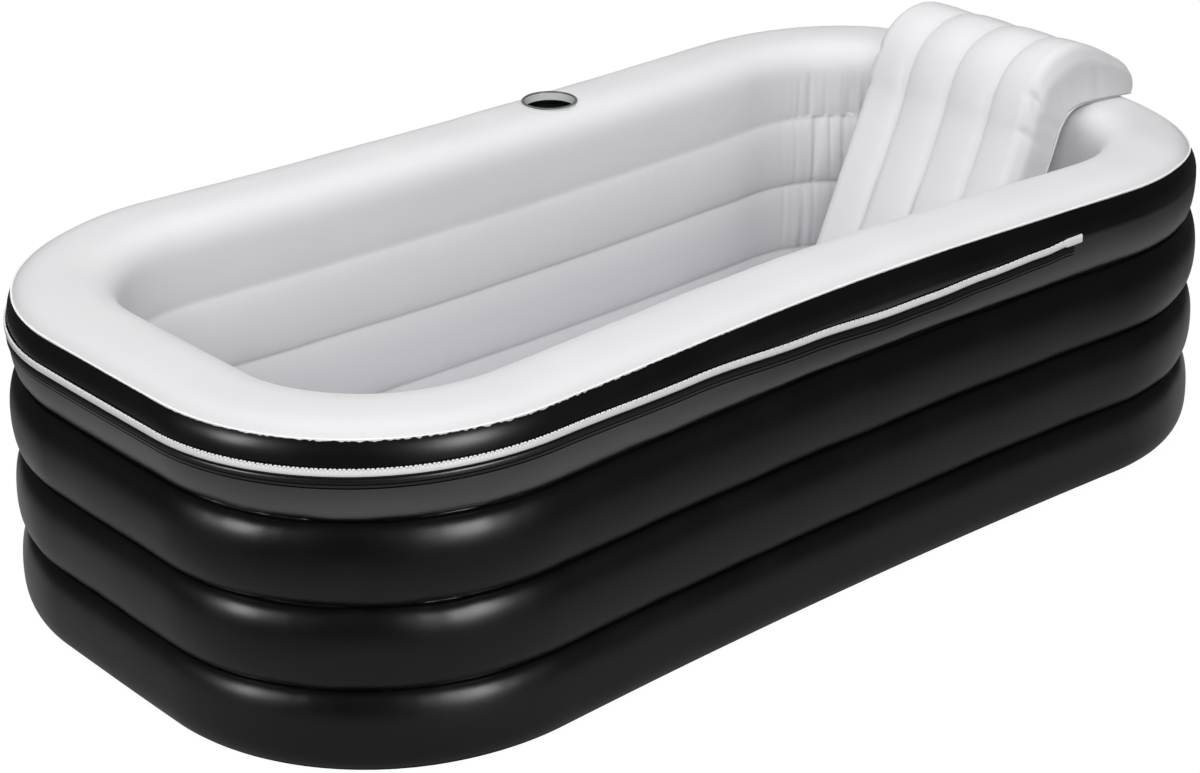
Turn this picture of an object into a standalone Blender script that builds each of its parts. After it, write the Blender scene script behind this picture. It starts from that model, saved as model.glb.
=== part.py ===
"""Inflatable bathtub for one adult, in metres, +Z up.

The wall is a ring of four air chambers, one on another: an outer skin, an inner skin that also
covers the rim, and three tension webs between them that draw in the creases. A flat base sheet
and a ribbed floor sheet close the bottom. The origin is on the ground under the middle of the
tub. The head end, with the backrest, is at +X. The side with the cup holder is at +Y.
"""

import math

import bmesh
import bpy
from mathutils import Matrix, Vector, geometry

# Wall, seen from above
RIM_LENGTH = 1.600
RIM_WIDTH = 0.870
RIM_CORNER_RADIUS = 0.316
SIDE_PINCH = 0.0325  # the long sides draw in at mid-length
END_BOW = 0.0078  # the ends swell out
WALL_LEAN = 0.0070  # the wall stands this much further out at the ground than at the rim

# Wall, in section
LOWER_CHAMBERS = 3
LOWER_CHAMBER_HEIGHT = 0.1026
LOWER_CHAMBER_WIDTH = 0.1416
RIM_CHAMBER_HEIGHT = 0.1112
RIM_CHAMBER_WIDTH = 0.1338
OUTER_CREASE_DEPTH = 0.0211
INNER_CREASE_DEPTH = 0.0090
CHAMBER_SQUARENESS = 2.2
RIM_INNER_SQUARENESS = 2.8
RIM_OUTER_SQUARENESS = 3.4
RIM_SEAM_DROP = 0.0135  # the light and dark skins meet this far below the top of the rim
RIM_SEAM_LAP = 0.0080
BASE_WELD_INSET = 0.0300
BASE_LAP = 0.0100

# Sheet goods and clearances
SKIN = 0.0005
GAP = 0.0003  # stands for a weld or a seat
AIR_HOLE_RADIUS = 0.0120
AIR_HOLES = 4
CUTTER_OVERRUN = 0.0100

# Floor
FLOOR_HEIGHT = 0.0300
FLOOR_RIBS = 5
FLOOR_WALL_CLEARANCE = 0.0030
FLOOR_END_ROUNDING = 0.0500
FLOOR_END_SHARES = (0, 0.12, 0.5, 1)
FLOOR_CROWN_POWER = 0.7

# Cup holder, in the far rim
CUP_HOLE_RADIUS = 0.0375
CUP_ALONG_SHARE = 0.0955  # of the middle line's length, from its middle towards the head
CUP_OUTWARD = 0.0050
CUP_DEPTH = 0.0850
CUP_COLLAR_DEPTH = 0.0180
CUP_COLLAR_WALL = 0.0012
CUP_LIP_RISE = 0.0008

# Zip for a cover: half of it runs round the foot end
ZIP_END_ALONG = 0.3600
ZIP_RISE = 0.0582  # of the coil's middle, over the crease under the rim
ZIP_TAPE_WIDTH = 0.0260
ZIP_TAPE_THICKNESS = 0.0007
ZIP_TAPE_EDGE = 0.0015
ZIP_COIL_WIDTH = 0.0085
ZIP_COIL_THICKNESS = 0.0025
ZIP_STOP_LENGTH = 0.0060
ZIP_STOP_RISE = 0.0008
ZIP_BOX_LENGTH = 0.0110
SLIDER_LENGTH = 0.0140
SLIDER_WALL = 0.0015
SLIDER_RUNNING_GAP = 0.0006
SLIDER_FROM_BOX = 0.0010
SLIDER_FLARE_SHARES = ((-0.5, 0.6), (-0.1, 0.0), (0.5, 0.0))
BAIL_SPAN = 0.0104
BAIL_WIDTH = 0.0016
BAIL_BAR = 0.0012
TAB_LENGTH = 0.0280
TAB_WIDTH = 0.0080
TAB_THICKNESS = 0.0012
TAB_RIM = 0.0016
TAB_HOLE_LENGTH = 0.0070
TAB_PLAY = 0.0004

# Wall valve, on the far side at mid-length
WALL_VALVE_CHAMBER = 2  # counted up from the lowest, which is 0
VALVE_FLANGE_RADIUS = 0.0240
VALVE_FLANGE_THICKNESS = 0.0014
VALVE_SEAT_GAP = 0.0006
VALVE_NECK_RADIUS = 0.0126
VALVE_NECK_WALL = 0.0024
VALVE_NECK_DEPTH = 0.0180
VALVE_COLLAR_HEIGHT = 0.0026
INSERT_PLAY = 0.0004
INSERT_WALL = 0.0026
INSERT_FLANGE_RADIUS = 0.0170
INSERT_FLANGE_THICKNESS = 0.0020
INSERT_DEPTH = 0.0120
INSERT_BAR_WIDTH = 0.0060
INSERT_BAR_THICKNESS = 0.0014
INSERT_BAR_LIFT = 0.0004
FLAP_PIN_RADIUS = 0.0012
FLAP_PIN_HEAD_RADIUS = 0.0020
FLAP_THICKNESS = 0.0010
FLAP_RADIUS = 0.0108
FLAP_TRAVEL = 0.0020
CAP_RADIUS = 0.0150
CAP_THICKNESS = 0.0018
CAP_PLUG_DEPTH = 0.0030
CAP_PLUG_WALL = 0.0014
CAP_STRAP_WIDTH = 0.0060
CAP_STRAP_THICKNESS = 0.0010

# Small stem valves of the floor and the backrest
STEM_RADIUS = 0.0050
STEM_BORE_RADIUS = 0.0031
STEM_RISE = 0.0100
STEM_DEPTH = 0.0060
STEM_FLANGE_RADIUS = 0.0140
STEM_FLANGE_THICKNESS = 0.0010
PLUG_HEAD_RADIUS = 0.0058
PLUG_HEAD_THICKNESS = 0.0016
PLUG_LENGTH = 0.0090
PLUG_EAR_LENGTH = 0.0060
FLOOR_VALVE_INSET = 0.1663  # from the foot end of the floor sheet

# Drain, through the lowest chamber of the head end
DRAIN_BORE_RADIUS = 0.0140
DRAIN_TUBE_WALL = 0.0025
DRAIN_FLANGE_RADIUS = 0.0230
DRAIN_FLANGE_THICKNESS = 0.0016
DRAIN_SPOUT_LENGTH = 0.0120
DRAIN_CAP_WALL = 0.0020
DRAIN_CAP_RIBS = 12
DRAIN_CAP_RIB_RADIUS = 0.0014
STOPPER_LENGTH = 0.0120
STOPPER_TAPER = 0.0008
STOPPER_HEAD_THICKNESS = 0.0022
STOPPER_RING_RADIUS = 0.0070
STOPPER_RING_WIRE = 0.0012

# Backrest, hooked over the head end
BACK_WIDTH = 0.3100
BACK_THICKNESS = 0.0620
BACK_CHANNELS = 4
BACK_GROOVE_DEPTH = 0.0070
BACK_SIDE_RADIUS = 0.0240
BACK_WELD_FLANGE = 0.0040
BACK_FOOT_ALONG = 0.4790
BACK_FOOT_HEIGHT = 0.1150
BACK_SHOULDER_ALONG = 0.5920
BACK_SHOULDER_HEIGHT = 0.3600
BACK_TIP_INWARDS = 0.0040  # the full section ends this far inside the rim's middle line
BACK_TIP_RISE = 0.0046  # its underside there stands this far above the rim
BACK_TIP_SLOPE = math.radians(8)
BACK_BEND_PULL = 0.1300
BACK_HOOK_PULL = 0.0900
BACK_END_RADIUS = 0.0580
BACK_LIP_SHARE = 0.02  # of the thickness, where the ends close on the rear sheet
BACK_CHANNEL_SHARES = ((0, 1), (1 / 3, 0), (2 / 3, 0))  # (place in the channel, depth of groove)
BACK_REAR_SHARES = (-1, -0.5, 0, 0.5, 1)
BACK_VALVE_SHARE = 0.35

# Fineness of the round forms
CORNER_STEPS = 7
SIDE_STEPS = 4
END_STEPS = 4
CHAMBER_STEPS = 4
RIM_QUARTER_STEPS = 3
ROUND_STEPS = 24
SMALL_ROUND_STEPS = 16
AIR_HOLE_SIDES = 12
RIB_SIDES = 6
FLOOR_RIB_STEPS = 4
BACK_SLAB_STEPS = 5
BACK_BEND_STEPS = 8
BACK_SIDE_STEPS = 2
BACK_END_STEPS = 3

# Worked out from the sizes above
TUB_HEIGHT = LOWER_CHAMBERS * LOWER_CHAMBER_HEIGHT + RIM_CHAMBER_HEIGHT
RIM_REACH = RIM_CHAMBER_WIDTH / 2
LOWER_REACH = LOWER_CHAMBER_WIDTH / 2
RIM_RISE = RIM_CHAMBER_HEIGHT / 2
LOWER_RISE = LOWER_CHAMBER_HEIGHT / 2
RIM_MIDDLE = TUB_HEIGHT - RIM_RISE
ZIP_HEIGHT = TUB_HEIGHT - RIM_CHAMBER_HEIGHT + ZIP_RISE
OUTER_CREASE = LOWER_REACH - OUTER_CREASE_DEPTH
INNER_CREASE = LOWER_REACH - INNER_CREASE_DEPTH
LINE_LENGTH = RIM_LENGTH - RIM_CHAMBER_WIDTH
LINE_WIDTH = RIM_WIDTH - RIM_CHAMBER_WIDTH
LINE_CORNER_RADIUS = RIM_CORNER_RADIUS - RIM_REACH
SKIN_SEAT = SKIN + GAP
SEAM_SINE = ((RIM_RISE - RIM_SEAM_DROP) / RIM_RISE) ** (RIM_OUTER_SQUARENESS / 2)
SEAM_ANGLE = math.asin(SEAM_SINE)
LAP_ANGLE = RIM_SEAM_LAP / RIM_REACH

for leftover in list(bpy.data.objects):
    bpy.data.objects.remove(leftover, do_unlink=True)

scene = bpy.context.scene
tub_parts = bpy.data.collections.new("inflatable_bathtub")
cutters = bpy.data.collections.new("cutters")
scene.collection.children.link(tub_parts)
scene.collection.children.link(cutters)


def finish(name, colour, roughness, metallic=0.0):
    """A plain material with the colour that the piece shows."""
    made = bpy.data.materials.new(name)
    made.use_nodes = True
    shader = made.node_tree.nodes["Principled BSDF"]
    shader.inputs["Base Color"].default_value = (*colour, 1)
    shader.inputs["Roughness"].default_value = roughness
    shader.inputs["Metallic"].default_value = metallic
    return made


black_vinyl = finish("black_vinyl", (0.012, 0.012, 0.014), 0.35)
light_vinyl = finish("light_vinyl", (0.76, 0.76, 0.77), 0.5)
web_vinyl = finish("web_vinyl", (0.55, 0.55, 0.57), 0.6)
grey_vinyl = finish("grey_vinyl", (0.35, 0.35, 0.36), 0.5)
black_tape = finish("black_tape", (0.015, 0.015, 0.016), 0.8)
zip_white = finish("zip_white", (0.85, 0.85, 0.85), 0.4)
black_plastic = finish("black_plastic", (0.02, 0.02, 0.02), 0.4)
clear_plastic = finish("valve_plastic", (0.7, 0.7, 0.7), 0.3)


def place(name, mesh, material, holder=None, collection=tub_parts):
    """One named object with one material, under an empty where it has one."""
    made = bpy.data.objects.new(name, mesh)
    mesh.materials.append(material)
    collection.objects.link(made)
    made.parent = holder
    return made


def empty(name, matrix):
    """An empty that carries the pieces of one fitting."""
    made = bpy.data.objects.new(name, None)
    made.matrix_world = matrix
    tub_parts.objects.link(made)
    return made


def lofted(
    name, rows, round_rows, capped, material, holder=None, collection=tub_parts, ring=False
):
    """A surface through rows of points. Each row may close on itself, the end rows may be
    capped, and the last row may join the first as a ring."""
    shape = bmesh.new()
    placed = [[shape.verts.new(point) for point in row] for row in rows]
    count = len(rows[0])
    last = count if round_rows else count - 1
    following = placed[1:] + placed[:1] if ring else placed[1:]
    for low, high in zip(placed, following):
        for i in range(last):
            j = (i + 1) % count
            shape.faces.new((low[i], low[j], high[j], high[i]))
    if capped:
        shape.faces.new(list(reversed(placed[0])))
        shape.faces.new(placed[-1])
    if capped or ring:
        bmesh.ops.recalc_face_normals(shape, faces=shape.faces)
    mesh = bpy.data.meshes.new(name)
    shape.to_mesh(mesh)
    shape.free()
    mesh.shade_smooth()
    return place(name, mesh, material, holder, collection)


def thicken(sheet, thickness):
    """Gives a sheet its thickness, on the side away from its normals."""
    wall = sheet.modifiers.new("thickness", "SOLIDIFY")
    wall.thickness = thickness
    wall.offset = -1
    return sheet


def cut(piece, cutter, operation="DIFFERENCE"):
    """Cuts the hidden shape from the piece, or joins it on."""
    made = piece.modifiers.new(cutter.name, "BOOLEAN")
    made.object = cutter
    made.operation = operation


def hidden(tool):
    """Keeps a cutting or joining shape out of the finished part."""
    tool.hide_render = True
    tool.display_type = "WIRE"
    return tool


def turned(name, profile, steps, material, holder=None, collection=tub_parts):
    """A profile of (radius, height) points, down its outer side, turned about the holder's Z."""
    shape = bmesh.new()
    points = [shape.verts.new((radius, 0, height)) for radius, height in profile]
    ends_on_axis = profile[0][0] == 0 and profile[-1][0] == 0
    pairs = list(zip(points, points[1:]))
    if not ends_on_axis:
        pairs.append((points[-1], points[0]))
    for first, second in pairs:
        shape.edges.new((first, second))
    mesh = bpy.data.meshes.new(name)
    shape.to_mesh(mesh)
    shape.free()
    made = place(name, mesh, material, holder, collection)
    screw = made.modifiers.new("turn", "SCREW")
    screw.axis = "Z"
    screw.steps = steps
    screw.render_steps = steps
    screw.use_merge_vertices = True
    screw.merge_threshold = GAP / 10
    screw.use_smooth_shade = True
    return made


def block(name, size, centre, material, holder=None, collection=tub_parts, rounding=0.0):
    """A box with its size in its mesh, and rounded edges where asked."""
    shape = bmesh.new()
    bmesh.ops.create_cube(shape, size=1)
    bmesh.ops.scale(shape, vec=size, verts=shape.verts)
    bmesh.ops.translate(shape, vec=centre, verts=shape.verts)
    mesh = bpy.data.meshes.new(name)
    shape.to_mesh(mesh)
    shape.free()
    made = place(name, mesh, material, holder, collection)
    if rounding:
        bevel = made.modifiers.new("rounding", "BEVEL")
        bevel.width = rounding
        bevel.segments = 2
    return made


def rod(name, radius, start, end, steps, material, holder=None, collection=tub_parts):
    """A round bar between two points."""
    shape = bmesh.new()
    bmesh.ops.create_cone(
        shape, cap_ends=True, segments=steps, radius1=radius, radius2=radius, depth=1
    )
    along = Vector(end) - Vector(start)
    bmesh.ops.scale(shape, vec=(1, 1, along.length), verts=shape.verts)
    turn = Vector((0, 0, 1)).rotation_difference(along).to_matrix().to_4x4()
    middle = Matrix.Translation((Vector(start) + Vector(end)) / 2)
    bmesh.ops.transform(shape, matrix=middle @ turn, verts=shape.verts)
    mesh = bpy.data.meshes.new(name)
    shape.to_mesh(mesh)
    shape.free()
    return place(name, mesh, material, holder, collection)


def superellipse(angle, reach, rise, squareness):
    """A point on a swollen chamber's section, from its middle."""
    across = math.copysign(abs(math.cos(angle)) ** (2 / squareness), math.cos(angle))
    up = math.copysign(abs(math.sin(angle)) ** (2 / squareness), math.sin(angle))
    return reach * across, rise * up


def angles(first, last, steps):
    """Evenly spaced angles in radians, both ends included."""
    return [math.radians(first + (last - first) * i / steps) for i in range(steps + 1)]


def wall_ring(offset, height):
    """One turn round the wall at this distance outside its middle line, counter-clockwise."""
    reach = offset + WALL_LEAN * (1 - height / TUB_HEIGHT)
    half_length = LINE_LENGTH / 2 + reach
    half_width = LINE_WIDTH / 2 + reach
    radius = LINE_CORNER_RADIUS + reach
    along = half_length - radius
    across = half_width - radius
    ring = []
    for quarter, (x_side, y_side) in enumerate(((1, -1), (1, 1), (-1, 1), (-1, -1))):
        start = 90 * (quarter - 1)
        for angle in angles(start, start + 90, CORNER_STEPS):
            x = x_side * along + radius * math.cos(angle)
            y = y_side * across + radius * math.sin(angle)
            ring.append((x, y))
        steps = SIDE_STEPS if quarter % 2 else END_STEPS
        for i in range(1, steps):
            share = 1 - 2 * i / steps
            if quarter % 2:
                ring.append((x_side * along * share, y_side * half_width))
            else:
                ring.append((x_side * half_length, y_side * across * share))
    drawn = []
    for x, y in ring:
        pinch = SIDE_PINCH * (1 - (x / half_length) ** 2) * y / half_width
        bow = END_BOW * (1 - (y / half_width) ** 2) * x / half_length
        drawn.append(Vector((x + bow, y - pinch, height)))
    return drawn


def outer_profile():
    """Section of the dark skin from the ground up to its edge under the rim seam."""
    base_weld = LOWER_REACH - BASE_WELD_INSET
    points = []
    for chamber in range(LOWER_CHAMBERS):
        middle = chamber * LOWER_CHAMBER_HEIGHT + LOWER_RISE
        for angle in angles(-90, 90, CHAMBER_STEPS):
            if chamber == 0 and angle < 0:
                rise = LOWER_RISE - SKIN_SEAT
                out, up = superellipse(angle, BASE_WELD_INSET, rise, RIM_INNER_SQUARENESS)
                points.append((base_weld + out, middle + up))
            elif angle > math.radians(-90):
                out, up = superellipse(angle, OUTER_CREASE_DEPTH, LOWER_RISE, CHAMBER_SQUARENESS)
                points.append((OUTER_CREASE + out, middle + up))
    swell = RIM_REACH - SKIN_SEAT - OUTER_CREASE
    for angle in angles(-90, 0, RIM_QUARTER_STEPS)[1:]:
        out, up = superellipse(angle, swell, RIM_RISE, CHAMBER_SQUARENESS)
        points.append((OUTER_CREASE + out, RIM_MIDDLE + up))
    for angle in [SEAM_ANGLE / 2, SEAM_ANGLE, SEAM_ANGLE + LAP_ANGLE]:
        points.append(rim_point(angle, SKIN_SEAT))
    return points


def rim_point(angle, under=0.0):
    """A point on the outer or the top quarter of the rim, this far under its surface."""
    squareness = RIM_OUTER_SQUARENESS if angle < math.pi / 2 else RIM_INNER_SQUARENESS
    out, up = superellipse(angle, RIM_REACH - under, RIM_RISE - under, squareness)
    return out, RIM_MIDDLE + up


def inner_profile():
    """Section of the light skin from the rim seam over the rim and down to the ground."""
    base_weld = LOWER_REACH - BASE_WELD_INSET
    points = [rim_point(SEAM_ANGLE), rim_point(SEAM_ANGLE + LAP_ANGLE)]
    top_steps = RIM_QUARTER_STEPS - 1
    first = math.degrees(SEAM_ANGLE + LAP_ANGLE)
    points += [rim_point(angle) for angle in angles(first, 90, top_steps)[1:]]
    points += [rim_point(angle) for angle in angles(90, 180, RIM_QUARTER_STEPS + 1)[1:]]
    for angle in angles(180, 270, RIM_QUARTER_STEPS)[1:]:
        out, up = superellipse(angle, RIM_REACH - INNER_CREASE, RIM_RISE, CHAMBER_SQUARENESS)
        points.append((out - INNER_CREASE, RIM_MIDDLE + up))
    for chamber in reversed(range(LOWER_CHAMBERS)):
        middle = chamber * LOWER_CHAMBER_HEIGHT + LOWER_RISE
        for angle in angles(90, 270, CHAMBER_STEPS)[1:]:
            if chamber == 0 and angle > math.pi:
                rise = LOWER_RISE - SKIN_SEAT
                out, up = superellipse(angle, BASE_WELD_INSET, rise, RIM_INNER_SQUARENESS)
                points.append((out - base_weld, middle + up))
            else:
                out, up = superellipse(angle, INNER_CREASE_DEPTH, LOWER_RISE, CHAMBER_SQUARENESS)
                points.append((out - INNER_CREASE, middle + up))
    return points


def between(points, value, by, read):
    """Reads one coordinate of an outline where another has this value."""
    for first, second in zip(points, points[1:]):
        low, high = sorted((first[by], second[by]))
        if low <= value <= high and low != high:
            share = (value - first[by]) / (second[by] - first[by])
            return first[read] + share * (second[read] - first[read])
    return points[-1][read]


def outer_offset(height):
    """How far the dark skin stands outside the wall's middle line at this height."""
    return between(outer_profile(), height, 1, 0)


def rim_height(offset):
    """Height of the rim's surface at this distance from the wall's middle line."""
    top = [point for point in inner_profile() if point[1] > RIM_MIDDLE]
    return between(top, offset, 0, 1)


def lean(height):
    """How far the wall stands out at this height, beyond where it stands at the rim."""
    return WALL_LEAN * (1 - height / TUB_HEIGHT)


def panel_seams():
    """The seven panels of a skin, counter-clockwise, and the point of a ring where each starts."""
    far_side = 2 * CORNER_STEPS + END_STEPS
    foot_end = 3 * CORNER_STEPS + END_STEPS + SIDE_STEPS
    near_side = 4 * CORNER_STEPS + 2 * END_STEPS + SIDE_STEPS
    return (
        ("head", CORNER_STEPS),
        ("far_head", CORNER_STEPS + END_STEPS),
        ("far", far_side + 1),
        ("far_foot", far_side + SIDE_STEPS - 1),
        ("near_foot", foot_end + END_STEPS // 2),
        ("near", near_side + 1),
        ("near_head", near_side + SIDE_STEPS - 1),
    )


def seamed(run):
    """Draws both ends of a run of points back by half a weld."""
    first = run[0] + (run[1] - run[0]).normalized() * GAP / 2
    last = run[-1] + (run[-2] - run[-1]).normalized() * GAP / 2
    return [first, *run[1:-1], last]


def wall_skin(name, profile, material):
    """A skin of the wall: its section carried round the plan, in panels with upright seams."""
    rings = [wall_ring(offset, height) for offset, height in profile]
    seams = panel_seams()
    panels = {}
    for (place_of, first), (_, last) in zip(seams, seams[1:] + seams[:1]):
        count = (last - first) % len(rings[0]) + 1
        rows = [seamed((ring + ring)[first : first + count]) for ring in rings]
        sheet = lofted(f"{name}_{place_of}", rows, False, False, material)
        panels[place_of] = thicken(sheet, SKIN)
    return panels


def air_hole_rods():
    """Upright rods where air passes from chamber to chamber."""
    line = wall_ring(0, RIM_MIDDLE)
    spacing = len(line) // AIR_HOLES
    for number, point in enumerate(line[spacing // 2 :: spacing]):
        top = point + Vector((0, 0, LOWER_CHAMBER_HEIGHT))
        foot = Vector((point.x, point.y, LOWER_RISE))
        passage = rod(
            f"air_hole_{number}",
            AIR_HOLE_RADIUS,
            foot,
            top,
            AIR_HOLE_SIDES,
            web_vinyl,
            collection=cutters,
        )
        yield hidden(passage)


def webs(holes):
    """Three flat rings that tie the skins together at the creases."""
    reach_out = OUTER_CREASE - SKIN - SKIN_SEAT
    reach_in = -(INNER_CREASE - SKIN - SKIN_SEAT)
    for number, name in enumerate(("web_lower", "web_middle", "web_upper"), 1):
        height = number * LOWER_CHAMBER_HEIGHT
        rings = [wall_ring(reach_out, height), wall_ring(reach_in, height)]
        for ring in rings:
            for point in ring:
                point.z += SKIN / 2
        web = thicken(lofted(name, rings, True, False, web_vinyl), SKIN)
        for hole in holes:
            cut(web, hole)


def base_sheet():
    """The flat sheet that the tub stands on, welded under both skins."""
    outline = wall_ring(LOWER_REACH - BASE_WELD_INSET + BASE_LAP, 0)
    shape = bmesh.new()
    shape.faces.new([shape.verts.new((point.x, point.y, SKIN)) for point in outline])
    mesh = bpy.data.meshes.new("base_sheet")
    shape.to_mesh(mesh)
    shape.free()
    return thicken(place("base_sheet", mesh, black_vinyl), SKIN)


def floor_inset():
    """How far inside the wall's middle line the floor sheet ends."""
    return LOWER_REACH + FLOOR_WALL_CLEARANCE - lean(0)


def floor_sheet():
    """The top of the air floor: ribs along the tub, welded to the base between them."""
    inset = floor_inset()
    half_length = LINE_LENGTH / 2 - inset
    half_width = LINE_WIDTH / 2 - inset
    radius = LINE_CORNER_RADIUS - inset
    steps = FLOOR_RIBS * FLOOR_RIB_STEPS
    weld_height = 2 * SKIN_SEAT
    rows = []
    for i in range(steps + 1):
        across = half_width * (2 * i / steps - 1)
        past = max(0, abs(across) - (half_width - radius))
        reach = half_length - radius + math.sqrt(max(0, radius**2 - past**2))
        crown = abs(math.sin(math.pi * i / FLOOR_RIB_STEPS)) ** FLOOR_CROWN_POWER
        ends = [FLOOR_END_ROUNDING * share for share in FLOOR_END_SHARES]
        places = [inwards - reach for inwards in ends] + [0]
        places += [reach - inwards for inwards in reversed(ends)]
        row = []
        for x in places:
            inwards = min(1, (reach - abs(x)) / FLOOR_END_ROUNDING)
            rise = math.sqrt(1 - (1 - inwards) ** 2) * crown * (FLOOR_HEIGHT - weld_height)
            pinch = SIDE_PINCH * (1 - (x / half_length) ** 2) * across / half_width
            bow = END_BOW * (1 - (across / half_width) ** 2) * x / half_length
            row.append(Vector((x + bow, across - pinch, weld_height + rise)))
        rows.append(row)
    return thicken(lofted("floor_sheet", rows, False, False, light_vinyl), SKIN)


def line_place(along):
    """The wall's middle line on the far side, at this place along the tub."""
    half_length = LINE_LENGTH / 2
    pinch = SIDE_PINCH * (1 - (along / half_length) ** 2)
    return LINE_WIDTH / 2 - pinch


def cup_holder(rim_skin):
    """A round pocket let into the far rim: a welded collar and a closed sleeve under it."""
    along = LINE_LENGTH * CUP_ALONG_SHARE
    centre = Vector((along, line_place(along) + CUP_OUTWARD, 0))
    hole = rod(
        "cup_hole",
        CUP_HOLE_RADIUS,
        centre + Vector((0, 0, RIM_MIDDLE)),
        centre + Vector((0, 0, TUB_HEIGHT + CUTTER_OVERRUN)),
        ROUND_STEPS,
        light_vinyl,
        collection=cutters,
    )
    cut(rim_skin, hidden(hole))
    outer = CUP_HOLE_RADIUS - GAP
    inner = outer - CUP_COLLAR_WALL
    foot = TUB_HEIGHT - CUP_COLLAR_DEPTH
    stations = []
    for angle in angles(0, 360, ROUND_STEPS)[:-1]:
        turn = Vector((math.cos(angle), math.sin(angle), 0))
        lip = rim_height(CUP_OUTWARD + outer * math.sin(angle)) + CUP_LIP_RISE
        section = ((outer, lip), (outer, foot), (inner, foot), (inner, lip))
        stations.append([centre + turn * radius + Vector((0, 0, z)) for radius, z in section])
    lofted("cup_collar", stations, True, False, grey_vinyl, ring=True)
    holder = empty("cup_centre", Matrix.Translation(centre))
    top = foot - GAP
    bottom = TUB_HEIGHT - CUP_DEPTH
    sleeve = outer - SKIN
    profile = [
        (0, bottom + SKIN),
        (sleeve, bottom + SKIN),
        (sleeve, top),
        (outer, top),
        (outer, bottom),
        (0, bottom),
    ]
    turned("cup_pocket", profile, ROUND_STEPS, black_vinyl, holder)


def trimmed(run, end):
    """Shortens a run of points so that it starts at x = end."""
    while run[1].x > end:
        run = run[1:]
    share = (run[0].x - end) / (run[0].x - run[1].x)
    return [run[0].lerp(run[1], share)] + run[1:]


def foot_run(offset, height, end):
    """The part of a turn round the wall from x = end on the far side, past the foot end."""
    ring = wall_ring(offset, height)
    first = 2 * CORNER_STEPS + END_STEPS
    run = trimmed(ring[first:] + ring[:1], end)
    return list(reversed(trimmed(list(reversed(run)), end)))


def zip_levels():
    """Heights and offsets of the zip's tape face."""
    low = ZIP_HEIGHT + ZIP_COIL_WIDTH / 2 + ZIP_TAPE_EDGE - ZIP_TAPE_WIDTH
    high = low + ZIP_TAPE_WIDTH
    bends = [height for _, height in outer_profile() if low < height < high]
    stand = GAP + ZIP_TAPE_THICKNESS
    return [(outer_offset(height) + stand, height) for height in [low, *bends, high]]


def zip_stations(end, rise=0.0):
    """Sections of a bar on the tape, one after another round the foot end from x = end."""
    half = ZIP_COIL_WIDTH / 2 + rise
    chamfer = ZIP_COIL_THICKNESS / 4
    seat = GAP + ZIP_TAPE_THICKNESS + GAP + outer_offset(ZIP_HEIGHT)
    face = seat + ZIP_COIL_THICKNESS + rise
    section = (
        (seat, ZIP_HEIGHT - half),
        (face, ZIP_HEIGHT - half + chamfer),
        (face, ZIP_HEIGHT + half - chamfer),
        (seat, ZIP_HEIGHT + half),
    )
    return list(zip(*[foot_run(offset, height, end) for offset, height in section]))


def zip_end_piece(name, side, length):
    """A short bar past one end of the coil: side 0 is the far end and -1 the near one."""
    start = ZIP_END_ALONG + GAP
    ends = [zip_stations(place, ZIP_STOP_RISE)[side] for place in (start + length, start)]
    lofted(name, ends, True, True, zip_white)


def half_zip():
    """The tub's half of the cover zip: tape, coil and the two end pieces."""
    tape_end = ZIP_END_ALONG + ZIP_BOX_LENGTH + ZIP_TAPE_EDGE
    rows = [foot_run(offset, height, tape_end) for offset, height in zip_levels()]
    thicken(lofted("zip_tape", rows, False, False, black_tape), ZIP_TAPE_THICKNESS)
    lofted("zip_coil", zip_stations(ZIP_END_ALONG), True, True, zip_white)
    zip_end_piece("zip_top_stop", -1, ZIP_STOP_LENGTH)
    zip_end_piece("zip_retainer_box", 0, ZIP_BOX_LENGTH)


def slider_frame():
    """Local axes of the slider: x along its run, y up, z out of the wall."""
    seat = outer_offset(ZIP_HEIGHT) + GAP + ZIP_TAPE_THICKNESS + GAP
    parked = ZIP_END_ALONG - SLIDER_FROM_BOX - SLIDER_LENGTH / 2
    start = foot_run(seat, ZIP_HEIGHT, parked)[0]
    ahead = foot_run(seat, ZIP_HEIGHT, parked - SLIDER_LENGTH)[0]
    along = (ahead - start).normalized()
    up = Vector((0, 0, 1))
    out = along.cross(up)
    turn = Matrix((along, up, out)).transposed().to_4x4()
    return Matrix.Translation(start) @ turn


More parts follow.
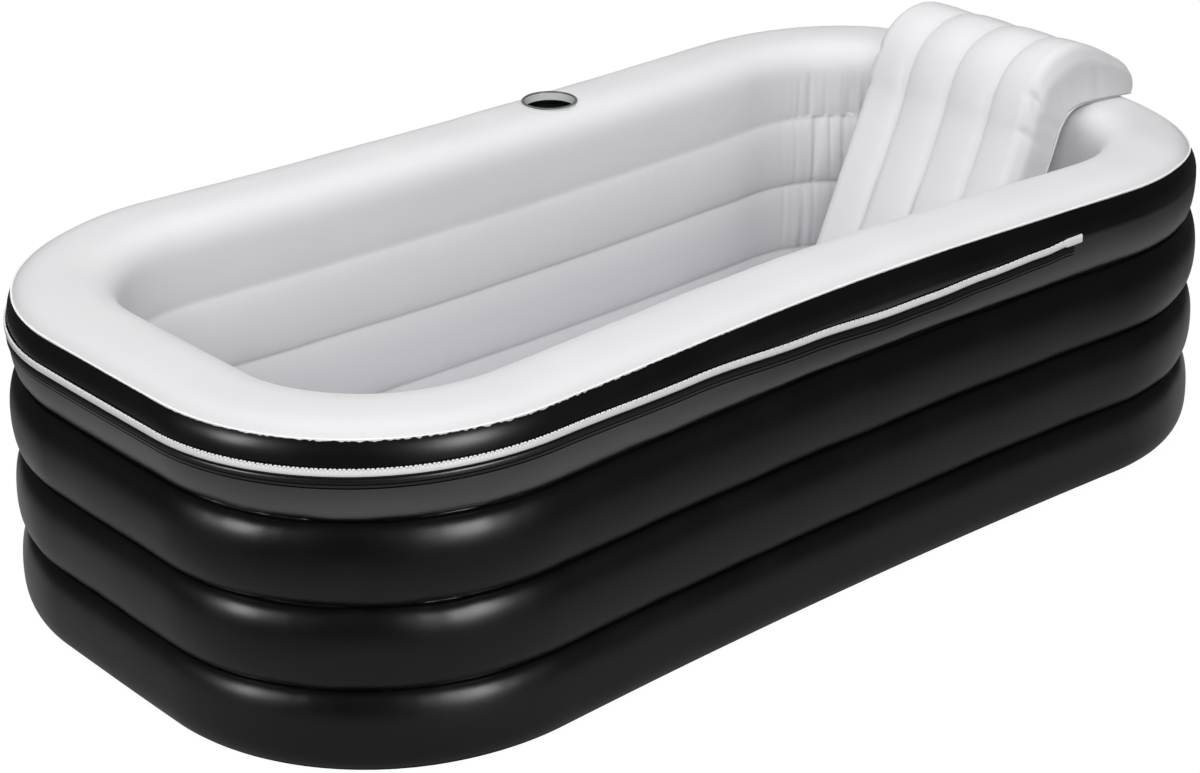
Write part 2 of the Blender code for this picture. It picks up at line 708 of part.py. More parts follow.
def slider():
    """The slider, a channel over the coil with a bail, and the pull tab that turns in it."""
    holder = empty("slider_place", slider_frame())
    side = ZIP_COIL_WIDTH / 2 + SLIDER_RUNNING_GAP
    under = ZIP_COIL_THICKNESS + SLIDER_RUNNING_GAP
    plate = under + SLIDER_WALL
    stations = []
    for share, flare in SLIDER_FLARE_SHARES:
        edge = side + SLIDER_WALL * (1 + flare)
        section = (
            (-edge, SLIDER_RUNNING_GAP),
            (-side, SLIDER_RUNNING_GAP),
            (-side, under),
            (side, under),
            (side, SLIDER_RUNNING_GAP),
            (edge, SLIDER_RUNNING_GAP),
            (edge, plate),
            (-edge, plate),
        )
        x = SLIDER_LENGTH * share
        stations.append([Vector((x, y, z)) for y, z in section])
    body = lofted("zip_slider", stations, True, True, zip_white, holder)
    room = 2 * (math.hypot(TAB_RIM, TAB_THICKNESS) / 2 + TAB_PLAY)
    half = BAIL_SPAN / 2
    arch = (
        (-half, under + SLIDER_WALL / 2),
        (-half + BAIL_BAR, under + SLIDER_WALL / 2),
        (-half + BAIL_BAR, plate + room),
        (half - BAIL_BAR, plate + room),
        (half - BAIL_BAR, under + SLIDER_WALL / 2),
        (half, under + SLIDER_WALL / 2),
        (half, plate + room + BAIL_BAR),
        (-half, plate + room + BAIL_BAR),
    )
    width = BAIL_WIDTH / 2
    sides = [[Vector((x, y, z)) for x, z in arch] for y in (-width, width)]
    bail = lofted("bail", sides, True, True, zip_white, holder, cutters)
    cut(body, hidden(bail), "UNION")
    pivot = empty("tab_pivot", Matrix.Translation((0, 0, plate + room / 2)))
    pivot.parent = holder
    reach = TAB_LENGTH + TAB_RIM / 2
    size = (reach, TAB_WIDTH, TAB_THICKNESS)
    centre = (reach / 2 - TAB_RIM / 2, 0, 0)
    tab = block("zip_pull_tab", size, centre, zip_white, pivot)
    hole_size = (TAB_HOLE_LENGTH, TAB_WIDTH - 2 * TAB_RIM, TAB_THICKNESS + CUTTER_OVERRUN)
    hole_centre = ((TAB_RIM + TAB_HOLE_LENGTH) / 2, 0, 0)
    cut(tab, hidden(block("tab_hole", hole_size, hole_centre, zip_white, pivot, cutters)))
    return holder


def fitting_frame(place_of, out):
    """Local axes of a fitting on an upright wall: z out of it, y up."""
    up = Vector((0, 0, 1))
    turn = Matrix((up.cross(out), up, out)).transposed().to_4x4()
    return Matrix.Translation(place_of) @ turn


def wall_valve(skin):
    """The large air valve: a welded base, a screwed insert with its flap, and a strap cap."""
    height = WALL_VALVE_CHAMBER * LOWER_CHAMBER_HEIGHT + LOWER_RISE
    face = line_place(0) + lean(height) + outer_offset(height)
    seat = Vector((0, face + VALVE_SEAT_GAP, height))
    holder = empty("wall_valve_place", fitting_frame(seat, Vector((0, 1, 0))))
    neck = VALVE_NECK_RADIUS + VALVE_NECK_WALL
    hole = rod(
        "valve_hole",
        neck + GAP,
        (0, 0, -CUTTER_OVERRUN),
        (0, 0, CUTTER_OVERRUN),
        ROUND_STEPS,
        black_vinyl,
        holder,
        cutters,
    )
    cut(skin, hidden(hole))
    base = [
        (VALVE_NECK_RADIUS, VALVE_COLLAR_HEIGHT),
        (neck, VALVE_COLLAR_HEIGHT),
        (neck, VALVE_FLANGE_THICKNESS),
        (VALVE_FLANGE_RADIUS, VALVE_FLANGE_THICKNESS),
        (VALVE_FLANGE_RADIUS, 0),
        (neck, 0),
        (neck, -VALVE_NECK_DEPTH),
        (VALVE_NECK_RADIUS, -VALVE_NECK_DEPTH),
    ]
    turned("wall_valve_base", base, ROUND_STEPS, clear_plastic, holder)

    tube = VALVE_NECK_RADIUS - INSERT_PLAY
    bore = tube - INSERT_WALL
    seat_height = VALVE_COLLAR_HEIGHT + GAP
    top = seat_height + INSERT_FLANGE_THICKNESS
    insert = turned(
        "wall_valve_insert",
        [
            (bore, top),
            (INSERT_FLANGE_RADIUS, top),
            (INSERT_FLANGE_RADIUS, seat_height),
            (tube, seat_height),
            (tube, -INSERT_DEPTH),
            (bore, -INSERT_DEPTH),
        ],
        ROUND_STEPS,
        clear_plastic,
        holder,
    )
    bar_length = bore + tube
    bar_size = (INSERT_BAR_WIDTH, bar_length, INSERT_BAR_THICKNESS)
    bar_centre = (0, 0, INSERT_BAR_THICKNESS / 2 - INSERT_DEPTH + INSERT_BAR_LIFT)
    bar = block("insert_bar", bar_size, bar_centre, clear_plastic, holder, cutters)
    cut(insert, hidden(bar), "UNION")
    pin_hole = rod(
        "pin_hole",
        FLAP_PIN_RADIUS + GAP,
        (0, 0, -VALVE_NECK_DEPTH),
        (0, 0, 0),
        SMALL_ROUND_STEPS,
        clear_plastic,
        holder,
        cutters,
    )
    cut(insert, hidden(pin_hole))

    flap_top = -INSERT_DEPTH - GAP
    head_under = bar_centre[2] + INSERT_BAR_THICKNESS / 2 + GAP + FLAP_TRAVEL
    flap = [
        (0, head_under + FLAP_THICKNESS),
        (FLAP_PIN_HEAD_RADIUS, head_under + FLAP_THICKNESS),
        (FLAP_PIN_HEAD_RADIUS, head_under),
        (FLAP_PIN_RADIUS, head_under),
        (FLAP_PIN_RADIUS, flap_top),
        (FLAP_RADIUS, flap_top),
        (FLAP_RADIUS, flap_top - FLAP_THICKNESS),
        (0, flap_top - FLAP_THICKNESS),
    ]
    turned("wall_valve_flap", flap, SMALL_ROUND_STEPS, grey_vinyl, holder)

    cap_seat = top + GAP
    plug = bore - INSERT_PLAY
    plug_bore = plug - CAP_PLUG_WALL
    cap = turned(
        "wall_valve_cap",
        [
            (0, cap_seat + CAP_THICKNESS),
            (CAP_RADIUS, cap_seat + CAP_THICKNESS),
            (CAP_RADIUS, cap_seat),
            (plug, cap_seat),
            (plug, cap_seat - CAP_PLUG_DEPTH),
            (plug_bore, cap_seat - CAP_PLUG_DEPTH),
            (plug_bore, cap_seat + CAP_THICKNESS / 2),
            (0, cap_seat + CAP_THICKNESS / 2),
        ],
        ROUND_STEPS,
        clear_plastic,
        holder,
    )
    roll = CAP_STRAP_THICKNESS
    hinge_out = INSERT_FLANGE_RADIUS + GAP + roll
    strap_start = CAP_RADIUS - CAP_PLUG_WALL
    strap_size = (CAP_STRAP_WIDTH, hinge_out - strap_start, CAP_STRAP_THICKNESS)
    strap_centre = (0, (hinge_out + strap_start) / 2, cap_seat + CAP_STRAP_THICKNESS / 2)
    strap = block("cap_strap", strap_size, strap_centre, clear_plastic, holder, cutters)
    cut(cap, hidden(strap), "UNION")
    half = CAP_STRAP_WIDTH / 2 + GAP
    hinge = rod(
        "cap_hinge",
        roll,
        (-half, hinge_out, cap_seat),
        (half, hinge_out, cap_seat),
        SMALL_ROUND_STEPS // 2,
        clear_plastic,
        holder,
        cutters,
    )
    cut(cap, hidden(hinge), "UNION")


def stem_valve(name, holder, sheet):
    """A small valve: a flanged stem through the sheet and a plug with an ear to pull."""
    hole = rod(
        f"{name}_hole",
        STEM_RADIUS + GAP,
        (0, 0, -CUTTER_OVERRUN),
        (0, 0, CUTTER_OVERRUN),
        SMALL_ROUND_STEPS,
        light_vinyl,
        holder,
        cutters,
    )
    cut(sheet, hidden(hole))
    stem = [
        (STEM_BORE_RADIUS, STEM_RISE),
        (STEM_RADIUS, STEM_RISE),
        (STEM_RADIUS, STEM_FLANGE_THICKNESS),
        (STEM_FLANGE_RADIUS, STEM_FLANGE_THICKNESS),
        (STEM_FLANGE_RADIUS, 0),
        (STEM_RADIUS, 0),
        (STEM_RADIUS, -STEM_DEPTH),
        (STEM_BORE_RADIUS, -STEM_DEPTH),
    ]
    turned(f"{name}_stem", stem, SMALL_ROUND_STEPS, clear_plastic, holder)
    seat = STEM_RISE + GAP
    fit = STEM_BORE_RADIUS - INSERT_PLAY
    plug = turned(
        f"{name}_plug",
        [
            (0, seat + PLUG_HEAD_THICKNESS),
            (PLUG_HEAD_RADIUS, seat + PLUG_HEAD_THICKNESS),
            (PLUG_HEAD_RADIUS, seat),
            (fit, seat),
            (fit, seat - PLUG_LENGTH),
            (0, seat - PLUG_LENGTH),
        ],
        SMALL_ROUND_STEPS,
        clear_plastic,
        holder,
    )
    ear_length = PLUG_EAR_LENGTH + PLUG_HEAD_RADIUS / 2
    ear_size = (ear_length, PLUG_HEAD_RADIUS, PLUG_HEAD_THICKNESS / 2)
    ear_centre = (PLUG_HEAD_RADIUS / 2 + ear_length / 2, 0, seat + PLUG_HEAD_THICKNESS / 2)
    ear = block(f"{name}_ear", ear_size, ear_centre, clear_plastic, holder, cutters)
    cut(plug, hidden(ear), "UNION")


def drain(dark_skin, light_skin):
    """A tube welded through the lowest chamber, a stopper inside the tub and a cap outside."""
    height = LOWER_RISE
    line = LINE_LENGTH / 2 + END_BOW + lean(height)
    outer_face = line + outer_offset(height) + VALVE_SEAT_GAP
    inner_face = line - LOWER_REACH - VALVE_SEAT_GAP
    outside = Vector((outer_face, 0, height))
    holder = empty("drain_place", fitting_frame(outside, Vector((1, 0, 0))))
    tube = DRAIN_BORE_RADIUS + DRAIN_TUBE_WALL
    width = outer_face - inner_face
    mouth = -width - DRAIN_FLANGE_THICKNESS - DRAIN_TUBE_WALL / 2
    for skin, middle in ((dark_skin, 0), (light_skin, -width)):
        hole = rod(
            f"drain_hole_{skin.name}",
            tube + GAP,
            (0, 0, middle - CUTTER_OVERRUN),
            (0, 0, middle + CUTTER_OVERRUN),
            ROUND_STEPS,
            black_vinyl,
            holder,
            cutters,
        )
        cut(skin, hidden(hole))
    body = [
        (DRAIN_BORE_RADIUS, DRAIN_SPOUT_LENGTH),
        (tube, DRAIN_SPOUT_LENGTH),
        (tube, mouth),
        (DRAIN_BORE_RADIUS, mouth),
    ]
    turned("drain_tube", body, ROUND_STEPS, black_plastic, holder)
    inner_foot = -width - DRAIN_FLANGE_THICKNESS
    for name, foot in (("drain_outer_flange", 0), ("drain_inner_flange", inner_foot)):
        ring_top = foot + DRAIN_FLANGE_THICKNESS
        ring = [
            (tube + GAP, ring_top),
            (DRAIN_FLANGE_RADIUS, ring_top),
            (DRAIN_FLANGE_RADIUS, foot),
            (tube + GAP, foot),
        ]
        turned(name, ring, ROUND_STEPS, black_plastic, holder)

    under = DRAIN_SPOUT_LENGTH + GAP
    cap_bore = tube + INSERT_PLAY
    cap_radius = cap_bore + DRAIN_CAP_WALL
    cap_foot = DRAIN_FLANGE_THICKNESS + GAP
    cap = turned(
        "drain_cap",
        [
            (0, under + DRAIN_CAP_WALL),
            (cap_radius, under + DRAIN_CAP_WALL),
            (cap_radius, cap_foot),
            (cap_bore, cap_foot),
            (cap_bore, under),
            (0, under),
        ],
        ROUND_STEPS,
        black_plastic,
        holder,
    )
    for number, angle in enumerate(angles(0, 360, DRAIN_CAP_RIBS)[:-1]):
        x, y = cap_radius * math.cos(angle), cap_radius * math.sin(angle)
        rib = rod(
            f"cap_rib_{number}",
            DRAIN_CAP_RIB_RADIUS,
            (x, y, cap_foot + DRAIN_CAP_RIB_RADIUS),
            (x, y, under + DRAIN_CAP_WALL - DRAIN_CAP_RIB_RADIUS),
            RIB_SIDES,
            black_plastic,
            holder,
            cutters,
        )
        cut(cap, hidden(rib), "UNION")

    inside = Vector((outer_face + mouth, 0, height))
    inner = empty("drain_inner_place", fitting_frame(inside, Vector((-1, 0, 0))))
    fit = DRAIN_BORE_RADIUS - INSERT_PLAY
    head_top = GAP + STOPPER_HEAD_THICKNESS
    stopper = turned(
        "drain_stopper",
        [
            (0, head_top),
            (tube, head_top),
            (tube, GAP),
            (fit, GAP),
            (fit - STOPPER_TAPER, -STOPPER_LENGTH),
            (0, -STOPPER_LENGTH),
        ],
        ROUND_STEPS,
        black_plastic,
        inner,
    )
    bpy.ops.mesh.primitive_torus_add(
        major_radius=STOPPER_RING_RADIUS,
        minor_radius=STOPPER_RING_WIRE,
        major_segments=SMALL_ROUND_STEPS,
        minor_segments=RIB_SIDES,
    )
    pull = bpy.context.object
    pull.name = "stopper_ring"
    for home in pull.users_collection:
        home.objects.unlink(pull)
    cutters.objects.link(pull)
    upright = Matrix.Rotation(math.pi / 2, 4, "X")
    pull.data.transform(Matrix.Translation((0, 0, head_top + STOPPER_RING_RADIUS / 2)) @ upright)
    pull.parent = inner
    cut(stopper, hidden(pull), "UNION")


def back_path():
    """The backrest's middle, seen from the side, as (place, direction) from foot to tip."""
    foot = Vector((BACK_FOOT_ALONG, 0, BACK_FOOT_HEIGHT))
    shoulder = Vector((BACK_SHOULDER_ALONG, 0, BACK_SHOULDER_HEIGHT))
    rise = (shoulder - foot).normalized()
    rim_line = LINE_LENGTH / 2 + END_BOW
    tip_height = TUB_HEIGHT + BACK_TIP_RISE + BACK_THICKNESS / 2
    tip = Vector((rim_line - BACK_TIP_INWARDS, 0, tip_height))
    back_up = Vector((-math.cos(BACK_TIP_SLOPE), 0, math.sin(BACK_TIP_SLOPE)))
    bend = geometry.interpolate_bezier(
        shoulder,
        shoulder + rise * BACK_BEND_PULL,
        tip + back_up * BACK_HOOK_PULL,
        tip,
        BACK_BEND_STEPS + 1,
    )
    straight = [foot.lerp(shoulder, i / BACK_SLAB_STEPS) for i in range(BACK_SLAB_STEPS)]
    places = straight + [Vector(point) for point in bend]
    path = []
    for i, point in enumerate(places):
        before = places[max(0, i - 1)]
        after = places[min(len(places) - 1, i + 1)]
        path.append((point, (after - before).normalized()))
    return path


def back_section():
    """The front sheet's section from its rear edge round to the other, as (across, out)."""
    half = BACK_THICKNESS / 2
    side = BACK_WIDTH / 2
    centre = side - BACK_SIDE_RADIUS
    edge = [(side, SKIN_SEAT - half)]
    for angle in angles(0, 90, BACK_SIDE_STEPS):
        across = centre + BACK_SIDE_RADIUS * math.cos(angle)
        edge.append((across, half - BACK_SIDE_RADIUS * (1 - math.sin(angle))))
    channel = BACK_WIDTH / BACK_CHANNELS
    face = []
    for number in range(BACK_CHANNELS):
        for share, dip in BACK_CHANNEL_SHARES:
            across = side - channel * (number + share)
            if abs(across) < centre:
                face.append((across, half - BACK_GROOVE_DEPTH * dip))
    return edge + face + [(-across, out) for across, out in reversed(edge)]


def back_rows():
    """Places along the backrest, each with its direction and how far the front has closed."""
    path = back_path()
    rows = []
    for (point, along), sign in ((path[0], -1), (path[-1], 1)):
        close = []
        for angle in angles(90, 0, BACK_END_STEPS)[:-1]:
            out = along * sign * BACK_END_RADIUS * math.sin(angle)
            close.append((point + out, along, max(BACK_LIP_SHARE, math.cos(angle))))
        rows.append(close)
    return rows[0] + [(point, along, 1) for point, along in path] + rows[1][::-1]


def back_place(point, along, across, out):
    """A point of the backrest from its place across it and out of its middle."""
    normal = Vector((-along.z, 0, along.x))
    return point + normal * out + Vector((0, across, 0))


def backrest():
    """An inflated slab that hooks over the head end: two sheets and three webs between."""
    half = BACK_THICKNESS / 2
    rear = SKIN_SEAT - half
    front_rows = []
    rear_rows = []
    wide = BACK_WIDTH / 2 + BACK_WELD_FLANGE
    section = back_section()
    for point, along, full in back_rows():
        row = [(across, rear + (out - rear) * full) for across, out in section]
        front_rows.append([back_place(point, along, *place) for place in row])
        flat = [(wide * share, -half) for share in BACK_REAR_SHARES]
        rear_rows.append([back_place(point, along, *place) for place in flat])
    thicken(lofted("backrest_front_sheet", front_rows, False, False, light_vinyl), SKIN)
    rear_sheet = lofted("backrest_rear_sheet", rear_rows, False, False, light_vinyl)
    thicken(rear_sheet, SKIN)
    top = half - BACK_GROOVE_DEPTH - SKIN - SKIN_SEAT
    for number in range(1, BACK_CHANNELS):
        across = BACK_WIDTH * number / BACK_CHANNELS - BACK_WIDTH / 2
        rows = []
        for point, along in back_path():
            ends = (rear, top)
            rows.append([back_place(point, along, across, out) for out in ends])
        web = lofted(f"backrest_web_{number}", rows, False, False, web_vinyl)
        thicken(web, SKIN)
    path = back_path()
    slab_foot, along = path[0]
    shoulder = path[BACK_SLAB_STEPS][0]
    middle = slab_foot.lerp(shoulder, BACK_VALVE_SHARE)
    along = (shoulder - slab_foot).normalized()
    out = -Vector((-along.z, 0, along.x))
    half_channel = Vector((0, BACK_WIDTH / BACK_CHANNELS / 2, 0))
    seat = middle + half_channel + out * (half + GAP)
    turn = Matrix((along.cross(out), along, out)).transposed().to_4x4()
    holder = empty("backrest_valve_place", Matrix.Translation(seat) @ turn)
    stem_valve("backrest_valve", holder, rear_sheet)


def floor_valve(sheet):
    """The floor's stem valve, on the crown of the middle rib."""
    foot_end = floor_inset() - LINE_LENGTH / 2
    seat = Vector((foot_end + FLOOR_VALVE_INSET, 0, FLOOR_HEIGHT + GAP))
    stem_valve("floor_valve", empty("floor_valve_place", Matrix.Translation(seat)), sheet)


dark_skin = wall_skin("outer_wall", outer_profile(), black_vinyl)
light_skin = wall_skin("inner_wall", inner_profile(), light_vinyl)
webs(list(air_hole_rods()))
base_sheet()
floor = floor_sheet()
floor_valve(floor)
cup_holder(light_skin["far"])
half_zip()
slider()
wall_valve(dark_skin["far"])
drain(dark_skin["head"], light_skin["head"])
backrest()
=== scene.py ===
from math import asin, atan2, copysign, cos, dist, exp, hypot, pi, radians, sin, sqrt

import bpy
from mathutils import Matrix, Vector, noise


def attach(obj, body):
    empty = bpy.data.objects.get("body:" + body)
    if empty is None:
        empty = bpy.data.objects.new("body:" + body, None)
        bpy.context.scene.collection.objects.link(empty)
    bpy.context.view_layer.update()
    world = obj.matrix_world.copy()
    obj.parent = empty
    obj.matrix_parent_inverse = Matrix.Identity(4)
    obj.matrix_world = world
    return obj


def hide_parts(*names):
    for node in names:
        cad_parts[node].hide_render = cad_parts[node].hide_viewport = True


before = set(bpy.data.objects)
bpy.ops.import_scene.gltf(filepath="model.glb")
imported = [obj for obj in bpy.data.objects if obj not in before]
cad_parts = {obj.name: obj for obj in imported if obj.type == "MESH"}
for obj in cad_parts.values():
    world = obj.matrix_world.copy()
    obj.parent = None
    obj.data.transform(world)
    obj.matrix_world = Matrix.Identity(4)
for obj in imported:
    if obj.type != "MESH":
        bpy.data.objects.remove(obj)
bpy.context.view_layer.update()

# ----------
# The place: a white studio floor, the camera, and soft lamps.
# The floor keeps the tub's shadow, and it goes white where nothing shades it.
# ----------


def hue(code):
    """A colour written in sRGB, as linear light."""
    levels = [int(code[i : i + 2], 16) / 255 for i in (1, 3, 5)]
    return (*[v / 12.92 if v <= 0.04045 else ((v + 0.055) / 1.055) ** 2.4 for v in levels], 1)


def node(tree, kind, inputs=None, **settings):
    """Adds one node, with its settings. An input is a value, or a (node, output) to link."""
    made = tree.nodes.new("ShaderNode" + kind)
    for name, value in settings.items():
        setattr(made, name, value)
    for name, value in (inputs or {}).items():
        if isinstance(value, tuple) and isinstance(value[0], bpy.types.Node):
            tree.links.new(value[0].outputs[value[1]], made.inputs[name])
        else:
            made.inputs[name].default_value = value
    return made


def sum_of(tree, operation, *terms):
    """A sum of one or two terms, each a number or a (node, output)."""
    return node(tree, "Math", dict(enumerate(terms)), operation=operation), 0


def ramp(tree, source, low, high, first=0.0, last=1.0):
    """Goes from the first value to the last while its source goes from low to high."""
    ends = {"From Min": low, "From Max": high, "To Min": first, "To Max": last}
    return node(tree, "MapRange", {**ends, "Value": source}), 0


def tint(tree, share, first, second):
    """A mix of two colours, each written in sRGB or given as a (node, output)."""
    first, second = (hue(end) if isinstance(end, str) else end for end in (first, second))
    return node(tree, "Mix", {"A": first, "B": second, "Factor": share}, data_type="RGBA"), 2


def feed(end, **sources):
    """Links this node's sockets, each to its (node, output)."""
    for socket, (source, output) in sources.items():
        end.id_data.links.new(source.outputs[output], end.inputs[socket.replace("_", " ")])


def finish_of(name, **surface):
    """A new material, and its tree and shader, with the shader's plain settings."""
    made = bpy.data.materials.new(name)
    made.use_nodes = True
    shader = made.node_tree.nodes["Principled BSDF"]
    for socket, value in surface.items():
        shader.inputs[socket.replace("_", " ")].default_value = value
    return made, made.node_tree, shader


bpy.ops.object.select_all(action="DESELECT")
bpy.ops.mesh.primitive_circle_add(vertices=128, radius=40, fill_type="NGON")
floor = bpy.context.object
floor.name = "studio_floor"
floor.location.z = -0.0004
bpy.ops.object.transform_apply()
# painted studio floor: matt white, and lit from within for the camera so that it stays white. For
# all other rays its colour is painted light grey beside the tub and near black further off: a
# painted pool of light, which the film's gloss sees falling off into the dark room behind the
# camera
floor_paint, tree, shader = finish_of("white_floor_paint", Roughness=0.9)
shader.inputs["Specular IOR Level"].default_value = 0.1
seen = node(tree, "LightPath")
place = node(tree, "TexCoord"), "Object"
apart = node(tree, "VectorMath", {0: place}, operation="ABSOLUTE"), 0
beyond = node(tree, "VectorMath", {0: apart, 1: (0.8, 0.42, 0.0)}, operation="SUBTRACT"), 0
outside = node(tree, "VectorMath", {0: beyond, 1: (0.0, 0.0, 0.0)}, operation="MAXIMUM"), 0
distance = node(tree, "VectorMath", {0: outside}, operation="LENGTH"), "Value"
# painted shade: the floor's colour darkens with distance from the tub, for every ray but the
# camera's
painted_light_falloff = ramp(tree, distance, 0.15, 0.85)
painted_falloff_off_camera = sum_of(tree, "MULTIPLY", painted_light_falloff, sum_of(tree, "SUBTRACT", 1.0, (seen, "Is Camera Ray")))
feed(shader, Base_Color=tint(tree, painted_falloff_off_camera, "#BEBEC0", "#222224"))
share = sum_of(tree, "MULTIPLY", (seen, "Is Camera Ray"), 0.9)
for ray, part in (("Is Glossy Ray", 0.05), ("Is Transmission Ray", 0.9)):
    share = sum_of(tree, "MAXIMUM", share, sum_of(tree, "MULTIPLY", (seen, ray), part))
glow = node(tree, "Emission", {"Color": hue("#FFFFFF"), "Strength": 1.08})
mixed = node(tree, "MixShader", {0: share, 1: (shader, 0), 2: (glow, 0)})
feed(tree.nodes["Material Output"], Surface=(mixed, 0))
floor.data.materials.append(floor_paint)

room = bpy.data.worlds.new("studio_room")
bpy.context.scene.world = room
room.use_nodes = True
tree = room.node_tree
seen = node(tree, "LightPath")
light, gloss = (0.280, 0.280, 0.283, 1), (0.08, 0.08, 0.082, 1)
lit = tint(tree, (seen, "Is Glossy Ray"), light, gloss)
clear = sum_of(tree, "MAXIMUM", (seen, "Is Camera Ray"), (seen, "Is Transmission Ray"))
behind = tint(tree, clear, lit, (1.0, 1.0, 1.0, 1))
feed(tree.nodes["Background"], Color=behind)

bpy.ops.object.camera_add(location=(-2.22433, -2.49261, 1.66419))
camera = bpy.context.object
camera.name = "studio_camera"
heading = Matrix.Rotation(-0.7115, 4, "Z")
tilt = Matrix.Rotation(pi / 2 - 0.4277, 4, "X")
roll = Matrix.Rotation(-0.0103, 4, "Z")
camera.matrix_world = Matrix.Translation(camera.location) @ heading @ tilt @ roll
camera.data.sensor_width = 36
camera.data.lens = 83.58
camera.data.shift_x = 0.0037
camera.data.shift_y = -0.0008
camera.data.clip_end = 100
bpy.context.scene.camera = camera
bpy.context.scene.view_settings.view_transform = "Standard"

# (place, aimed at, width, height, watts). The first two light the tub and are kept out of its
# gloss; the last two only draw the highlights on the foot end's corners.
SOFTBOXES = (
    ((0.2, 0.3, 3.2), (0.0, 0.0, 0.3), 3.0, 2.2, 51),
    ((-3.6, -3.9, 4.0), (0.1, 0.1, 0.2), 4.0, 3.0, 245),
    ((-3.79, 0.24, 1.19), (-0.78, -0.24, 0.2), 0.7, 1.2, 52),
    ((-0.55, -3.44, 1.19), (-0.6, -0.4, 0.2), 0.9, 1.6, 82),
)
for number, (place, target, width, height, watts) in enumerate(SOFTBOXES, 1):
    bpy.ops.object.light_add(type="AREA", location=place)
    lamp = bpy.context.object
    lamp.name = f"softbox_{number}"
    lamp.rotation_euler = (Vector(target) - Vector(place)).to_track_quat("-Z", "Y").to_euler()
    lamp.data.shape = "RECTANGLE"
    lamp.data.size = width
    lamp.data.size_y = height
    lamp.data.energy = watts
    lamp.visible_glossy = number > 2
    lamp.visible_diffuse = number < 3

# ----------
# The dark skin of the wall: the outside of the three lower chambers and the rim's outer side.
# It is calendered PVC film, cut in bands and welded; air pressure swells each chamber and the
# webs inside hold the creases, where the film puckers.
# ----------

LINE_LENGTH = 1.4662  # the middle line of the wall, seen from above
LINE_WIDTH = 0.7362
LINE_RADIUS = 0.2491
SIDE_PINCH = 0.0325
END_BOW = 0.0078
LEAN = 0.0070
CHAMBER = 0.1026  # height of a lower chamber
RIM_CHAMBER = 0.1112
TUB_HEIGHT = 3 * CHAMBER + RIM_CHAMBER
REACH = 0.0708  # of a lower chamber, to either side of the middle line
RIM_REACH = 0.0669
OUTER_CREASE = 0.0497
INNER_CREASE = 0.0618
BASE_WELD = 0.0408
SEAT = 0.0008
SEAM_DROP = 0.0135
SEAM_LAP = 0.0080
RIM_DRAW = 0.0110  # the near rim is drawn in this much more at mid-length
HEAD_SAG = 0.0140  # the head end's rim gives this much under the backrest
HEAD_ROUND = 0.0060
STATIONS = 880
PANELS = ("head", "far_head", "far", "far_foot", "near_foot", "near", "near_head")

rim_rise = RIM_CHAMBER / 2
rim_middle = TUB_HEIGHT - rim_rise
rise = CHAMBER / 2
seam_angle = asin(((rim_rise - SEAM_DROP) / rim_rise) ** 1.7)

# The run of the middle line, from the middle of the head end: (length, centre x, y, way out, turn)
RUN = []
x, y, facing = LINE_LENGTH / 2 - LINE_RADIUS, 0.0, 0.0
quarter = pi / 2 * LINE_RADIUS
half_end, side_run = LINE_WIDTH / 2 - LINE_RADIUS, LINE_LENGTH - 2 * LINE_RADIUS
corner, side = (quarter, pi / 2), (side_run, 0)
half, end = (half_end, 0), (2 * half_end, 0)
for length, turn in (half, corner, side, corner, end, corner, side, corner, half):
    RUN.append((length, x, y, facing, turn))
    if turn:
        facing += turn
    else:
        x, y = x - sin(facing) * length, y + cos(facing) * length
TURN = sum(leg[0] for leg in RUN)


def along_the_run(distance):
    """Where the middle line's centre of curvature is at this distance, and the way out."""
    for length, x, y, facing, turn in RUN:
        if distance <= length:
            if turn:
                return x, y, facing + turn * distance / length
            return x - sin(facing) * distance, y + cos(facing) * distance, facing
        distance -= length
    return x, y, facing


def eased(value, low, high):
    """0 below low and 1 above high, with a soft rise between."""
    t = min(1.0, max(0.0, (value - low) / (high - low)))
    return t * t * (3 - 2 * t)


def wall_place(centre, out, up):
    """A point this far outside the middle line and above the ground."""
    x, y, facing = centre
    reach = out + LEAN * (1 - up / TUB_HEIGHT)
    half_length, half_width = LINE_LENGTH / 2 + reach, LINE_WIDTH / 2 + reach
    px = x + (LINE_RADIUS + reach) * cos(facing)
    py = y + (LINE_RADIUS + reach) * sin(facing)
    pinch = SIDE_PINCH * (1 - (px / half_length) ** 2) * py / half_width
    bow = END_BOW * (1 - (py / half_width) ** 2) * px / half_length
    drawn = 0.0
    if py < 0 and abs(px) < 0.5:
        drawn = RIM_DRAW * cos(pi * px) ** 2 * eased(up, 0.29, 0.36) * eased(-py, 0.1, 0.3)
    if px > 0.6:
        loaded = eased(px, 0.60, 0.78) * eased(0.30 - py, 0.0, 0.18)
        way = Vector((cos(facing), sin(facing))) * HEAD_ROUND * loaded
        way *= eased(up, 0.37, 0.415) * eased(out, 0.02, 0.06)
        px, py, up = px - way.x, py - way.y, up - HEAD_SAG * loaded * eased(up, 0.315, 0.40)
    return Vector((px + bow, py - pinch + drawn, up))


def swollen(angle, reach, height, squareness):
    """A point on a swollen chamber's section, from its middle."""
    c, s = cos(angle), sin(angle)
    return (
        copysign(abs(c) ** (2 / squareness), c) * reach,
        copysign(abs(s) ** (2 / squareness), s) * height,
    )


def arc(angle, foot, reach, middle, height, squareness=2.2):
    """A point (out, up) of a chamber's arc that begins this far from the wall's middle line."""
    out, up = swollen(angle, reach - abs(foot), height, squareness)
    return foot + out, middle + up


def spread(first, last, steps):
    """Angles from the first to the last, in degrees, given in radians."""
    return [radians(first + (last - first) * i / steps) for i in range(steps + 1)]


def rim_section(angle, under=0.0):
    """A point of the rim's outer or top quarter, this far under its surface."""
    squareness = 3.4 if angle < pi / 2 else 2.8
    out, up = swollen(angle, RIM_REACH - under, rim_rise - under, squareness)
    return out, rim_middle + up


